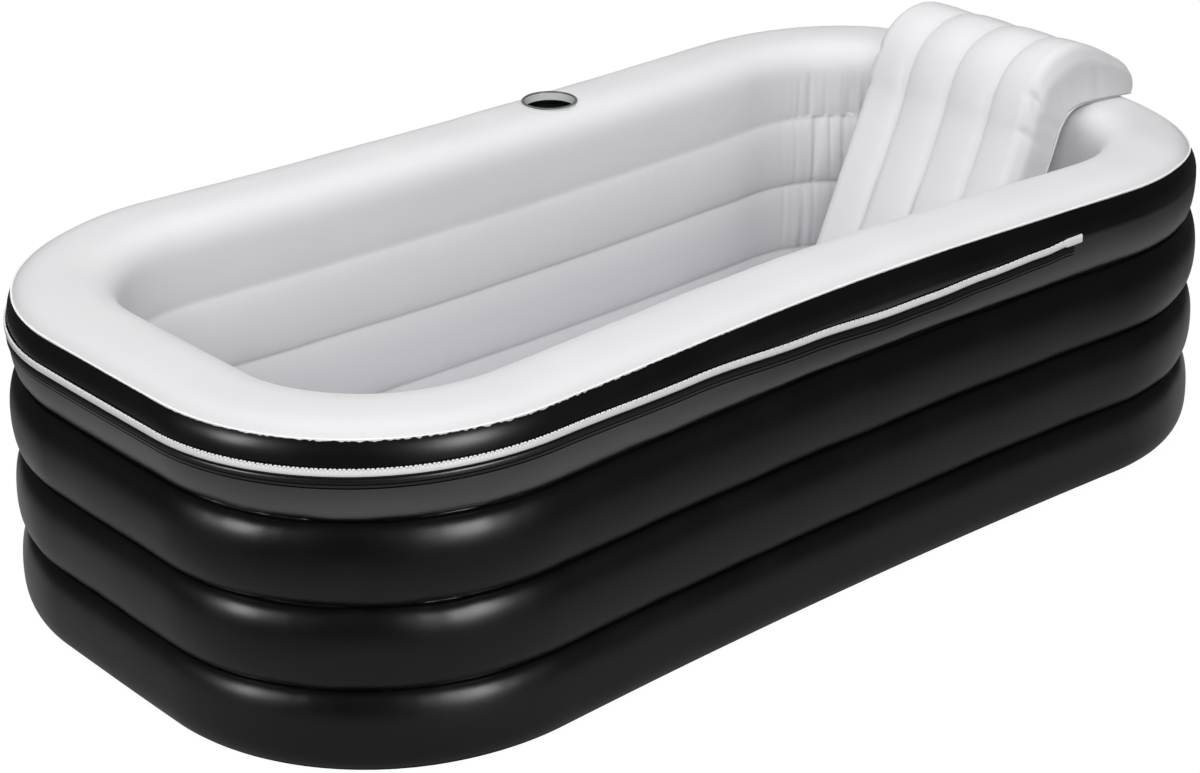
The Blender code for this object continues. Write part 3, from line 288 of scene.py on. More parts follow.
def alone(piece):
    """Leaves this piece alone selected, as the active one."""
    if bpy.context.object and bpy.context.object.mode != "OBJECT":
        bpy.ops.object.mode_set(mode="OBJECT")
    bpy.ops.object.select_all(action="DESELECT")
    piece.select_set(True)
    bpy.context.view_layer.objects.active = piece


def grid(name, columns, rows):
    """A flat sheet of this many faces, a unit square, whose points are then moved."""
    bpy.ops.object.select_all(action="DESELECT")
    bpy.ops.mesh.primitive_grid_add(x_subdivisions=columns, y_subdivisions=rows, size=1)
    bpy.context.object.name = name
    return bpy.context.object


def cell(vertex, columns, rows):
    """Which column and row of its grid a point is in."""
    return round((vertex.co.x + 0.5) * columns), round((vertex.co.y + 0.5) * rows)


def edited(*steps):
    """Runs these steps in edit mode, with the whole of the active mesh selected."""
    bpy.ops.object.mode_set(mode="EDIT")
    bpy.ops.mesh.select_all(action="SELECT")
    for step in steps:
        step()
    bpy.ops.object.mode_set(mode="OBJECT")


def merge():
    """Joins the points that lie together."""
    bpy.ops.mesh.remove_doubles(threshold=0.00001)


def noted(piece, name, values):
    """Keeps a number for each point of the mesh."""
    piece.data.attributes.new(name, "FLOAT", "POINT").data.foreach_set("value", values)


def mapped(piece, spots):
    """Gives the mesh its own map, in metres, from a place for each point."""
    for loop, place in zip(piece.data.loops, piece.data.uv_layers[0].data):
        place.uv = spots[loop.vertex_index]


def rough(x, y, z, size=1.0):
    """Smooth noise at this place, in waves of about this size."""
    return noise.noise(Vector((x, y, z)) / size)


def pucker(spot, gap, corner, strength):
    """How far the film is drawn in beside a weld: short pleats near it, longer ones further off."""
    fine = noise.noise(spot / 0.0085)
    middle = noise.noise(spot / 0.021 + Vector((7, 3, 0)))
    broad = noise.noise(spot / 0.055 + Vector((1, 9, 4)))
    depth = 0.0007 * max(0, fine) * exp(-gap / 0.006)
    depth += 0.0016 * max(0, middle + 0.1) * exp(-gap / 0.014)
    depth += 0.0016 * broad * exp(-gap / 0.035)
    return -depth * (0.45 + 0.75 * corner) * strength


def wrapped(name, section, count, strength, extra=None):
    """A sheet carried round the wall. The section is a list of (out, up), and the sheet starts as
    a flat grid whose points are moved on to the wall. Its map is in metres, and each point keeps
    its distance from the nearest crease."""
    steps = len(section) - 1
    sheet = grid(name, count, steps)
    lengths = [0.0]
    for first, second in zip(section, section[1:]):
        lengths.append(lengths[-1] + dist(first, second))
    creases = []
    for level in (CHAMBER, 2 * CHAMBER, 3 * CHAMBER):
        i = min(range(steps + 1), key=lambda i: abs(section[i][1] - level))
        if abs(section[i][1] - level) < 0.01:
            creases.append(lengths[i])
    ways = [along_the_run(TURN * i / count) for i in range(count)]
    ways.append(ways[0])
    gaps = [0.0] * len(sheet.data.vertices)
    spots = []
    for vertex in sheet.data.vertices:
        i, j = cell(vertex, count, steps)
        spots.append((i * TURN / count, lengths[j]))
        out, up = section[j]
        centre = ways[i]
        before, after = section[max(0, j - 1)], section[min(steps, j + 1)]
        tangent = Vector((after[0] - before[0], after[1] - before[1])).normalized()
        normal = Vector((tangent.y, -tangent.x))
        gap = min((abs(lengths[j] - crease) for crease in creases), default=1.0)
        gaps[vertex.index] = gap
        flat = wall_place(centre, out, up)
        corner = sin(2 * centre[2]) ** 2
        spot = Vector((flat.x, flat.y, up * 0.12 + 5 * round(up / CHAMBER)))
        push = pucker(spot, gap, corner, strength)
        push += 0.0007 * rough(flat.x, flat.y, up, size=0.09)
        if extra:
            push += extra(flat, centre)
        push *= eased(up, 0.002, 0.02)
        sway = 0.0012 * rough(flat.x, flat.y, 3 * round(up / CHAMBER), size=0.12)
        sway *= eased(up, 0.02, 0.09) * (1 - eased(up, 0.33, 0.39))
        level = max(0.0002, up + normal.y * push + sway)
        vertex.co = wall_place(centre, out + normal.x * push, level)
    mapped(sheet, spots)
    noted(sheet, "crease_gap", gaps)
    alone(sheet)
    edited(merge)
    bpy.ops.object.shade_smooth()
    return sheet


def without(sheet, inside):
    """Takes out the faces whose middle is inside."""
    alone(sheet)
    bpy.ops.object.mode_set(mode="EDIT")
    bpy.ops.mesh.select_all(action="DESELECT")
    bpy.ops.object.mode_set(mode="OBJECT")
    for face in sheet.data.polygons:
        face.select = inside(face.center)
    bpy.ops.object.mode_set(mode="EDIT")
    bpy.ops.mesh.select_mode(type="FACE")
    bpy.ops.mesh.delete(type="FACE")
    bpy.ops.object.mode_set(mode="OBJECT")


def mottle_of(tree, scale, detail=2.0, **more):
    """An even noise in the object's own coordinates."""
    settings = {"Scale": scale, "Detail": detail, "Vector": (node(tree, "TexCoord"), "Object")}
    return node(tree, "TexNoise", {**settings, **more}), "Fac"


def height_of(tree):
    """How high a point is, in the object's own coordinates."""
    return node(tree, "SeparateXYZ", {0: (node(tree, "TexCoord"), "Object")}), "Z"


def gap_from(tree, source, level):
    """How far the source is from this level, to either side."""
    return sum_of(tree, "ABSOLUTE", sum_of(tree, "SUBTRACT", source, level))


def bump(tree, source, strength, depth, under=None):
    """A relief from its source, on top of another one if that is given."""
    below = {"Normal": under} if under else {}
    settings = {"Strength": strength, "Distance": depth, "Height": source, **below}
    return node(tree, "Bump", settings), 0


def bumped(shader, *relief):
    """Gives the shader a relief."""
    feed(shader, Normal=bump(shader.id_data, *relief))


# calendered PVC film: satin black with a fine grain, a lighter, duller band where the welding
# bar pressed the crease, a thin raised line beside it, no gloss at the bottom weld, and more of
# it under the zip, where the film is drawn smooth
dark_film, tree, shader = finish_of("calendered_black_pvc", Roughness=0.3)
haze = mottle_of(tree, 14.0, 4.0)
gap = node(tree, "Attribute", attribute_name="crease_gap"), "Fac"
weld_and_crease_shade = ramp(tree, gap, 0.0022, 0.0034, 1.0, 0.0)
worn = tint(tree, weld_and_crease_shade, tint(tree, haze, "#060607", "#0B0B0D"), "#19191C")
feed(shader, Base_Color=worn, Roughness=ramp(tree, haze, 0.3, 0.7, 0.29, 0.35))
ridge = ramp(tree, gap_from(tree, gap, 0.0068), 0.0, 0.0011, 1.0, 0.0)
bumped(shader, ridge, 0.6, 0.0003, bump(tree, mottle_of(tree, 900.0, 3.0), 0.12, 0.0003))
place = height_of(tree)
foot_gloss = ramp(tree, place, 0.008, 0.013, 0.0, 0.32)
under_zip = ramp(tree, gap_from(tree, place, 0.339), 0.024, 0.030, 5.2, 1.0)
feed(shader, Specular_IOR_Level=sum_of(tree, "MULTIPLY", foot_gloss, under_zip))

section = []
for chamber in range(3):
    middle = chamber * CHAMBER + rise
    for angle in spread(-90, 90, 26):
        if chamber == 0 and angle < 0:
            section.append(arc(angle, BASE_WELD, REACH, middle, rise - SEAT, 2.8))
        elif angle > radians(-90):
            section.append(arc(angle, OUTER_CREASE, REACH, middle, rise))
for angle in spread(-90, 0, 12)[1:]:
    section.append(arc(angle, OUTER_CREASE, RIM_REACH - SEAT, rim_middle, rim_rise))
for step in range(1, 9):
    section.append(rim_section((seam_angle + SEAM_LAP / RIM_REACH) * step / 8, SEAT))
dark_wall = wrapped("dark_wall", section, STATIONS, 1.0)
VALVE_PLACE = Vector((0, 0.409715, 0.2565))
DRAIN_PLACE = Vector((0.818443, 0, 0.0513))
VALVE_HOLE, DRAIN_HOLE = 0.0180, 0.0185
without(dark_wall, lambda spot: dist(spot, VALVE_PLACE) < VALVE_HOLE)
without(dark_wall, lambda spot: dist(spot, DRAIN_PLACE) < DRAIN_HOLE)
dark_wall.data.materials.append(dark_film)
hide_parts(*[f"outer_wall_{panel}" for panel in PANELS])
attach(dark_wall, "tub")

# ----------
# The light skin of the wall: the rim's top and the whole inside, in pale grey PVC film.
# Its edge lies over the dark skin and is welded down, which leaves a fine raised bead. The film
# pleats where the wall turns, most of all in the corner behind the backrest.
# ----------

# calendered PVC film, pale grey, matt side out: soft broad gloss, a fine grain, faint mottling
light_film, tree, shader = finish_of("calendered_light_pvc", Roughness=0.42)
shader.inputs["Specular IOR Level"].default_value = 0.35
haze = mottle_of(tree, 9.0, 4.0)
gap = node(tree, "Attribute", attribute_name="crease_gap"), "Fac"
lap_highlight_mask = node(tree, "Attribute", attribute_name="lap_edge"), "Fac"
place = height_of(tree)
# painted shade along the creases, partly the pressed weld line: darker in the lower chambers, faint
# at the upper crease
line = ramp(tree, gap, 0.0004, 0.0036, 0.7, 0.0)
weld_and_crease_shade = sum_of(tree, "MULTIPLY", line, ramp(tree, place, 0.27, 0.30, 1.0, 0.3))
tone = tint(tree, haze, "#E0E0E2", "#E5E5E6")
# painted shade: the film is painted a little greyer lower down, from the lower chambers to the air
# floor
tone_with_low_shade = tint(tree, ramp(tree, place, 0.16, 0.30, 0.9, 0.0), tone, "#D6D6DA")
# painted highlight: the raised lap bead is painted near white, as if it caught the light
with_lap_highlight = tint(tree, lap_highlight_mask, tint(tree, weld_and_crease_shade, tone_with_low_shade, "#B2B2B3"), "#FAFAFA")
feed(shader, Base_Color=with_lap_highlight, Roughness=ramp(tree, haze, 0.3, 0.7, 0.38, 0.5))
bumped(shader, mottle_of(tree, 1100.0, 2.0), 0.08, 0.0002)

LIGHT_STATIONS = 1100
LAP_STATIONS = 2700  # for the lap's wandering edge

under_lap = seam_angle - 0.014
section = [rim_section(under_lap + (pi / 2 - under_lap) * step / 12) for step in range(13)]
for angle in spread(90, 180, 18)[1:]:
    section.append(rim_section(angle))
for angle in spread(180, 270, 10)[1:]:
    section.append(arc(angle, -INNER_CREASE, RIM_REACH, rim_middle, rim_rise))
for chamber in (2, 1, 0):
    middle = chamber * CHAMBER + rise
    for angle in spread(90, 270, 16)[1:]:
        if chamber == 0 and angle > pi:
            section.append(arc(angle, -BASE_WELD, REACH, middle, rise - SEAT, 2.8))
        else:
            section.append(arc(angle, -INNER_CREASE, REACH, middle, rise))


def corner_pleats(flat, centre):
    """Upright pleats in the far corner of the head end, and fainter ones in the others."""
    corner = sin(2 * centre[2]) ** 2
    level = round(flat.z / CHAMBER - 0.5)
    streak = max(0, rough(centre[2] * 19 + 5 * level, 5 * flat.z, 4)) ** 0.9
    head = exp(-(((centre[2] - 0.74) / 0.32) ** 2))
    inside = eased(rim_middle + 0.03 - flat.z, 0.0, 0.05)
    return -(0.0115 * head + 0.0008 * corner) * streak * inside


def softened(section):
    """The section with its inner creases rounded, as film does that isn't drawn tight, and the
    upper crease more than the lower ones."""
    points = list(section)
    for turn in range(5):
        for i in range(1, len(points) - 1):
            (a, b), (out, up), (c, d) = points[i - 1 : i + 2]
            slack = up > 2.5 * CHAMBER or turn < 2
            if slack and SEAT + 0.03 < up < 3.4 * CHAMBER and out < -0.9 * INNER_CREASE:
                points[i] = ((a + 2 * out + c) / 4, (b + 2 * up + d) / 4)
    return points


light_wall = wrapped("light_wall", softened(section), LIGHT_STATIONS, 0.8, corner_pleats)
# the lap's welded edge: a narrow raised band whose cut edge isn't quite even. It wanders by a
# millimetre or two at the near corner of the foot end, and less elsewhere.
LAP = (
    (-0.030, 0.0002), (-0.022, 0.0011), (-0.010, 0.0014),
    (0.004, 0.0011), (0.016, 0.0004), (0.030, -0.0003),
)
lap_section = [rim_section(seam_angle + turn, -lift) for turn, lift in LAP]
lap_bead = wrapped("lap_bead", lap_section, LAP_STATIONS, 0.0)
places = zip(lap_bead.data.loops, lap_bead.data.uv_layers[0].data)
edge = {loop.vertex_index for loop, place in places if place.uv.y < 0.0005}
for index in edge:
    spot = lap_bead.data.vertices[index].co
    worst = exp(-((spot.x + 0.56) ** 2 + (spot.y + 0.42) ** 2) / 0.0625)
    spot.z += (0.0004 + 0.0030 * worst) * rough(spot.x, spot.y, 0, size=0.0052) - 0.0004
# marks the lap bead for its painted highlight
noted(lap_bead, "lap_edge", [1.0] * len(lap_bead.data.vertices))
lap_bead.data.materials.append(light_film)
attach(lap_bead, "tub")
CUP_PLACE = Vector((0.14, 0.341785, 0))
CUP_RADIUS = 0.0372


def from_cup(spot):
    """Distance from the cup holder's middle, seen from above."""
    return hypot(spot.x - CUP_PLACE.x, spot.y - CUP_PLACE.y)


DRAIN_INNER = Vector((0.672793, 0, 0.0513))
without(light_wall, lambda spot: spot.z > rim_middle and from_cup(spot) < CUP_RADIUS)
without(light_wall, lambda spot: dist(spot, DRAIN_INNER) < DRAIN_HOLE)
for vertex in light_wall.data.vertices:
    gap = from_cup(vertex.co)
    if vertex.co.z > rim_middle and gap < 0.06:
        if gap < CUP_RADIUS + 0.004:
            side = (vertex.co - CUP_PLACE) / gap
            vertex.co.x = CUP_PLACE.x + side.x * CUP_RADIUS
            vertex.co.y = CUP_PLACE.y + side.y * CUP_RADIUS
        vertex.co.z -= 0.0012 * (1 - eased(gap, 0.038, 0.048))
light_wall.data.materials.append(light_film)
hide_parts(*[f"inner_wall_{panel}" for panel in PANELS])
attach(light_wall, "tub")

# ----------
# The backrest: two sheets of the pale film welded round their edge and along three webs, which
# make four long channels. It is blown up on its own and hooks over the head end, so its front
# is stretched smooth over the crest and its sides fold where it bends.
# ----------

BACK_SIDE = 0.155
BACK_HALF = 0.031
BACK_ROUND = 0.024
BACK_END = 0.058
BACK_FLANGE = 0.0028
BACK_FOOT = Vector((0.479, 0.115))
BACK_STRAIGHT = 0.17983
BACK_CREST = 0.6015  # how far along the tub the front sheet turns over the rim
BACK_WAY = Vector((0.41882, 0.90807))  # up along the straight part
GROOVE = 0.0090
# where it leaves the straight part and bends over the rim: (rear x, z, front x, z) in millimetres
BEND = (
    (582.5, 265.3, 526.2, 291.3), (598.5, 298.5, 541.2, 324), (618, 333, 555.6, 356.5),
    (631, 363, 569, 389), (639.5, 384, 576.5, 415), (648, 396.5, 586.5, 440),
    (657.5, 405, 601.5, 463), (668.5, 409.8, 622.5, 481), (680, 411.5, 648, 491.5),
    (692, 412, 672, 494.8), (708, 411.2, 696, 491.2), (730, 409.8, 723, 481.2),
    (752, 408, 748, 469.5), (772, 405.8, 770, 457.5), (784, 404.6, 785.5, 448),
    (789.5, 404.2, 793.5, 438.5), (791.5, 404, 796.8, 427), (792.5, 404, 797, 415),
    (792.5, 404.2, 794, 405.6),
)


def drawn_through(points, pitch):
    """A smooth line through the points, in steps of about the pitch."""
    line = []
    for i in range(len(points) - 1):
        a, b, c, d = (Vector(points[min(max(k, 0), len(points) - 1)]) for k in range(i - 1, i + 3))
        count = max(2, round((c - b).length / pitch))
        for step in range(count):
            t = step / count
            curve = (2 * a - 5 * b + 4 * c - d) * t**2 + (3 * b - a - 3 * c + d) * t**3
            line.append((2 * b + (c - a) * t + curve) / 2)
    return line + [Vector(points[-1])]


through = Vector((-BACK_WAY.y, BACK_WAY.x))  # from the rear sheet to the front one
rows = []  # (rear x, z, front x, z)
for angle in spread(90, 0, 18)[:-1]:
    rear = BACK_FOOT - BACK_WAY * BACK_END * sin(angle) - through * BACK_HALF
    rows.append(Vector((*rear, *(rear + through * 2 * BACK_HALF * max(0.012, cos(angle))))))
for i in range(40):
    middle = BACK_FOOT + BACK_WAY * BACK_STRAIGHT * i / 40
    rows.append(Vector((*(middle - through * BACK_HALF), *(middle + through * BACK_HALF))))
rows += drawn_through([[length / 1000 for length in row] for row in BEND], 0.0062)

flat_side = 2 * BACK_HALF - BACK_ROUND - SEAT
profile = [(BACK_SIDE, SEAT - BACK_HALF + flat_side * i / 10) for i in range(10)]
for angle in spread(0, 90, 12)[:-1]:
    across = BACK_SIDE - BACK_ROUND * (1 - cos(angle))
    profile.append((across, BACK_HALF - BACK_ROUND * (1 - sin(angle))))
reach = BACK_SIDE - BACK_ROUND
profile += [(reach - 2 * reach * i / 84, BACK_HALF) for i in range(85)]
profile += [(-across, out) for across, out in reversed(profile[:21])]

lengths = [0.0]
for first, second in zip(rows, rows[1:]):
    lengths.append(lengths[-1] + dist(first.xy + first.zw, second.xy + second.zw) / 2)
total = lengths[-1]
crest = lengths[min(range(len(rows)), key=lambda j: abs(rows[j].z - BACK_CREST))]
channel = 2 * BACK_SIDE / 4


def back_place(row, across, out):
    """A point of the backrest: in this row, this far across it and out of its middle."""
    share = (out + BACK_HALF) / (2 * BACK_HALF)
    x, z = rows[row].xy.lerp(rows[row].zw, share)
    return Vector((x, across, z))


def groove_depth(along):
    """How deep the webs draw the front in, which fades towards both ends."""
    return GROOVE * eased(along, 0.02, 0.12) * (1 - eased(along, total - 0.15, total - 0.02))


backrest = grid("backrest_front", len(profile) - 1, len(rows) - 1)
gaps = [1.0] * len(backrest.data.vertices)
for vertex in backrest.data.vertices:
    i, j = cell(vertex, len(profile) - 1, len(rows) - 1)
    across, out = profile[i]
    along = lengths[j]
    facing_front = eased(out, BACK_HALF - 0.012, BACK_HALF - 0.001)
    from_groove = min(abs(across - channel * k) for k in (-1, 0, 1))
    depth = groove_depth(along)
    if facing_front > 0.9:
        # the grooves' distance, along which the pale film paints its crease shade
        gaps[vertex.index] = from_groove + 0.01 * (1 - depth / GROOVE)
    beside = max(0.0, 1 - 2 * from_groove / channel)
    dip = depth * (0.6 * beside**2 + 0.4 * beside**9)
    puckers = 0.0014 * max(0, rough(along / 0.011, across / 0.05, 2)) * depth / GROOVE
    puckers *= exp(-from_groove / 0.012)
    out += facing_front * (0.0015 - dip - puckers)
    # the edge seam between the front and the side, drawn in a little, with short folds
    edge = abs(abs(across) - (BACK_SIDE - 0.006)) + abs(out - (BACK_HALF - 0.010))
    fold = 0.0014 * exp(-edge / 0.004)
    fold += 0.0016 * max(0, rough(along / 0.014, 5, 0)) * exp(-edge / 0.012)
    # two deeper creases run over this seam where the sides bend over the rim
    for place, deep in ((crest - 0.020, 0.0052), (crest - 0.062, 0.0036)):
        apart = along - place - 0.35 * (out - BACK_HALF + 0.010)
        crease = deep * exp(-((apart / 0.0055) ** 2)) * exp(-((edge / 0.020) ** 2))
        fold += crease
        out -= 0.5 * crease * facing_front
    across -= copysign(fold, across)
    # the sides fold in where the backrest bends over the rim
    side_wall = 1 - eased(out, BACK_HALF - 0.03, BACK_HALF - 0.01)
    bent = exp(-(((along - crest) / 0.08) ** 2))
    across -= copysign(0.005 * bent * side_wall * max(0, rough(along / 0.022, 9, 0) + 0.15), across)
    # short upright pleats at the weld that closes the tip
    tip = eased(along, total - 0.045, total - 0.012)
    out += 0.0016 * tip * rough(across / 0.006, 3, along / 0.03) * eased(out, -BACK_HALF, 0)
    out += 0.0008 * rough(along, across, out, size=0.06) * eased(out, -BACK_HALF, 0)
    vertex.co = back_place(j, across, out)
noted(backrest, "crease_gap", gaps)
bpy.ops.object.shade_smooth()

rear_sheet = grid("backrest_rear", 60, len(rows) - 1)
gaps = [1.0] * len(rear_sheet.data.vertices)
for vertex in rear_sheet.data.vertices:
    j = round((vertex.co.y + 0.5) * (len(rows) - 1))
    across = -2 * (BACK_SIDE + BACK_FLANGE) * vertex.co.x
    along = lengths[j]
    bent = exp(-(((along - crest) / 0.10) ** 2))
    inner = 1 - eased(abs(across), BACK_SIDE - 0.02, BACK_SIDE)
    wave = 0.0012 * bent * inner * rough(along / 0.012, across / 0.08, 3)
    loose = eased(abs(across), BACK_SIDE - 0.001, BACK_SIDE + BACK_FLANGE)
    wave += loose * 0.0003 * rough(along / 0.02, across / 0.02, 6)
    gaps[vertex.index] = max(0.0, (BACK_SIDE + BACK_FLANGE - abs(across)) - 0.001)
    vertex.co = back_place(j, across, -BACK_HALF + wave)
noted(rear_sheet, "crease_gap", gaps)
bpy.ops.object.shade_smooth()
alone(rear_sheet)
edited(bpy.ops.mesh.flip_normals)
for sheet in (backrest, rear_sheet):
    sheet.data.materials.append(light_film)
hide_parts("backrest_front_sheet")
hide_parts("backrest_rear_sheet")
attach(backrest, "backrest")
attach(rear_sheet, "backrest")

# ----------
# The bottom: a flat sheet of the black film that the tub stands on, welded under both skins and
# embossed against slipping. It starts as the outline, and its rings are drawn inwards.
# ----------

BASE_LAP = 0.0100
BASE_RINGS = 24

bpy.ops.object.select_all(action="DESELECT")
bpy.ops.mesh.primitive_circle_add(vertices=220, radius=1, fill_type="NOTHING")
base_film = bpy.context.object
base_film.name = "base_film"
for vertex in base_film.data.vertices:
    distance = TURN * (atan2(vertex.co.y, vertex.co.x) / (2 * pi) % 1)
    vertex.co = wall_place(along_the_run(distance), BASE_WELD + BASE_LAP, 0.0004)
bpy.ops.object.mode_set(mode="EDIT")
bpy.ops.mesh.select_all(action="SELECT")
for ring in range(1, BASE_RINGS):
    bpy.ops.mesh.extrude_edges_move()
    share = (BASE_RINGS - ring) / (BASE_RINGS - ring + 1)
    bpy.ops.transform.resize(value=(share, share, 1), center_override=(0, 0, 0))
bpy.ops.mesh.edge_face_add()
bpy.ops.mesh.select_all(action="SELECT")
bpy.ops.mesh.normals_make_consistent(inside=False)
bpy.ops.object.mode_set(mode="OBJECT")
for vertex in base_film.data.vertices:
    vertex.co.z = 0.0003
if base_film.data.polygons[0].normal.z > 0:
    alone(base_film)
    edited(bpy.ops.mesh.flip_normals)
# embossed PVC film: dull black with small raised studs, 6 mm apart
stud_film, tree, shader = finish_of("embossed_black_pvc", Roughness=0.5)
spacing = {"Scale": 160.0, "Randomness": 0.15, "Vector": (node(tree, "TexCoord"), "Object")}
studs = node(tree, "TexVoronoi", spacing, voronoi_dimensions="2D"), "Distance"
height = ramp(tree, studs, 0.1, 0.4, 1.0, 0.0)
bumped(shader, height, 0.5, 0.0004)
feed(shader, Base_Color=tint(tree, height, "#0C0C0E", "#161618"))
base_film.data.materials.append(stud_film)
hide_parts("base_sheet")
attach(base_film, "tub")

# ----------
# The webs: three flat rings of unpigmented film between the skins, one at each crease. They are
# welded in under tension, so they lie nearly flat, with faint ripples and punched air holes. Three
# upright strips of the same film hold the backrest's grooves.
# ----------

AIR_HOLE = 0.0120
AIR_HOLES = (0.28, 1.27, 2.27, 3.26)  # distances round the wall


def mottled(name, colours, roughness, mottle, strength, depth=0.0002, **more):
    """A plain material: one colour, or two in a mottle (scale, detail), and a relief from it."""
    made, tree, shader = finish_of(name, Roughness=roughness)
    flow = mottle_of(tree, *mottle, **more)
    if isinstance(colours, str):
        shader.inputs["Base Color"].default_value = hue(colours)
    else:
        feed(shader, Base_Color=tint(tree, flow, *colours))
    bumped(shader, flow, strength, depth)
    return made


# unpigmented PVC film: milky grey, slightly glossy
web_film = mottled("milky_web_pvc", ("#B8B8BA", "#CACACC"), 0.4, (40.0, 3.0), 0.2, 0.0004)

for number, name in enumerate(("web_lower", "web_middle", "web_upper"), 1):
    web = grid(name + "_film", 440, 12)
    for vertex in web.data.vertices:
        share = vertex.co.y + 0.5
        out = -(INNER_CREASE - 0.002) + (INNER_CREASE + OUTER_CREASE - 0.004) * share
        spot = along_the_run(TURN * ((vertex.co.x + 0.5) % 1))
        flat = wall_place(spot, out, number * CHAMBER)
        ripple = 0.0012 * rough(flat.x, flat.y, number, size=0.03) * sin(pi * share)
        vertex.co = flat + Vector((0, 0, ripple))
    alone(web)
    edited(merge)
    bpy.ops.object.shade_smooth()
    holes = [wall_place(along_the_run(distance), 0, number * CHAMBER) for distance in AIR_HOLES]
    without(web, lambda spot: any(dist(spot.xy, hole.xy) < AIR_HOLE for hole in holes))
    for vertex in web.data.vertices:
        for hole in holes:
            gap = dist(vertex.co.xy, hole.xy)
            if gap < AIR_HOLE * 1.45:
                vertex.co.xy = hole.xy + (vertex.co.xy - hole.xy) / gap * max(AIR_HOLE, gap * 0.9)
    web.data.materials.append(web_film)
    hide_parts(name)
    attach(web, "tub")

first_row = next(j for j in range(len(rows)) if lengths[j] > 0.03)
last_row = next(j for j in range(len(rows)) if lengths[j] > total - 0.03)
for number in (1, 2, 3):
    web = grid(f"backrest_web_{number}_film", last_row - first_row, 10)
    for vertex in web.data.vertices:
        j = first_row + round((vertex.co.x + 0.5) * (last_row - first_row))
        share = vertex.co.y + 0.5
        top = BACK_HALF - groove_depth(lengths[j]) - 0.0012
        out = 0.0006 - BACK_HALF + (top + BACK_HALF - 0.0006) * share
        ripple = 0.0012 * rough(lengths[j], out, number, size=0.02) * sin(pi * share)
        vertex.co = back_place(j, (number - 2) * channel + ripple, out)
    bpy.ops.object.shade_smooth()
    web.data.materials.append(web_film)
    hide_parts(f"backrest_web_{number}")
    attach(web, "backrest")

# ----------
# The air floor: a sheet of the pale film welded to the bottom in long lines, which leaves five
# soft ribs to lie on. The film puckers along the weld lines and where the ribs end.
# ----------

FLOOR_TOP = 0.0300
FLOOR_FOOT = 0.0016
FLOOR_GAP = 0.0668  # from the wall's middle line to the sheet's edge
FLOOR_RIBS = 5
FLOOR_ROUND = 0.0500

air_floor = grid("air_floor", 360, 150)
half_length, half_width = LINE_LENGTH / 2 - FLOOR_GAP, LINE_WIDTH / 2 - FLOOR_GAP
radius = LINE_RADIUS - FLOOR_GAP
gaps = [0.0] * len(air_floor.data.vertices)
for vertex in air_floor.data.vertices:
    across = 2 * half_width * vertex.co.y
    past = max(0.0, abs(across) - (half_width - radius))
    reach = half_length - radius + sqrt(max(0.0, radius**2 - past**2))
    x = 2 * reach * copysign(0.5 * (abs(2 * vertex.co.x)) ** 0.85, vertex.co.x)
    rib = (vertex.co.y + 0.5) * FLOOR_RIBS
    gap = abs(rib - round(rib)) * 2 * half_width / FLOOR_RIBS
    crown = abs(sin(pi * rib)) ** 0.7
    inwards = min(1.0, (reach - abs(x)) / FLOOR_ROUND)
    swell = sqrt(max(0.0, 1 - (1 - inwards) ** 2)) * crown
    folds = 0.0022 * max(0, rough(x / 0.014, across / 0.05, 1)) * exp(-gap / 0.012)
    folds += 0.0020 * max(0, rough(x / 0.06, across / 0.012, 2)) * (1 - eased(inwards, 0.3, 1))
    slack = 0.0012 * rough(x, across, 0, size=0.07)
    pinch = SIDE_PINCH * (1 - (x / half_length) ** 2) * across / half_width
    bow = END_BOW * (1 - (across / half_width) ** 2) * x / half_length
    # its distance from the weld lines and the sheet's end, along which the pale film paints its
    # crease shade
    gaps[vertex.index] = min(gap, reach - abs(x))
    up = FLOOR_FOOT + (FLOOR_TOP - FLOOR_FOOT) * swell + (slack - folds) * swell
    vertex.co = Vector((x + bow, across - pinch, up))
noted(air_floor, "crease_gap", gaps)
# a flat weld flange carries the sheet on to the wall's foot
bpy.ops.object.mode_set(mode="EDIT")
bpy.ops.mesh.select_mode(type="EDGE")
bpy.ops.mesh.select_all(action="DESELECT")
bpy.ops.mesh.select_non_manifold()
bpy.ops.mesh.extrude_edges_move()
bpy.ops.transform.resize(value=(1.018, 1.040, 1), center_override=(0, 0, 0))
bpy.ops.mesh.select_mode(type="VERT")
bpy.ops.mesh.select_all(action="SELECT")
bpy.ops.mesh.normals_make_consistent(inside=False)
bpy.ops.object.mode_set(mode="OBJECT")
bpy.ops.object.shade_smooth()
FLOOR_VALVE = Vector((-0.5, 0, 0.0303))
STEM_HOLE = 0.0065
without(air_floor, lambda spot: dist(spot.xy, FLOOR_VALVE.xy) < STEM_HOLE)
for vertex in air_floor.data.vertices:
    near_valve = 1 - eased(dist(vertex.co.xy, FLOOR_VALVE.xy), 0.014, 0.024)
    vertex.co.z += (FLOOR_TOP - 0.0002 - vertex.co.z) * near_valve
air_floor.data.materials.append(light_film)
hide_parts("floor_sheet")
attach(air_floor, "tub")

# ----------
# The cup holder: a moulded ring of grey PVC welded into the far rim, and under it a dark sleeve
# of film with a welded floor.
# ----------

CUP_DEPTH = 0.0850
COLLAR_DEPTH = 0.0180
SHARP = radians(32)  # hard pieces keep the edges that are sharper than this


def rounded(piece, width):
    """Rounds the sharp edges of the active piece."""
    rounding = piece.modifiers.new("rounding", "BEVEL")
    rounding.width = width
    rounding.segments = 3
    rounding.limit_method = "ANGLE"
    rounding.angle_limit = radians(28)
    bpy.ops.object.modifier_apply(modifier="rounding")


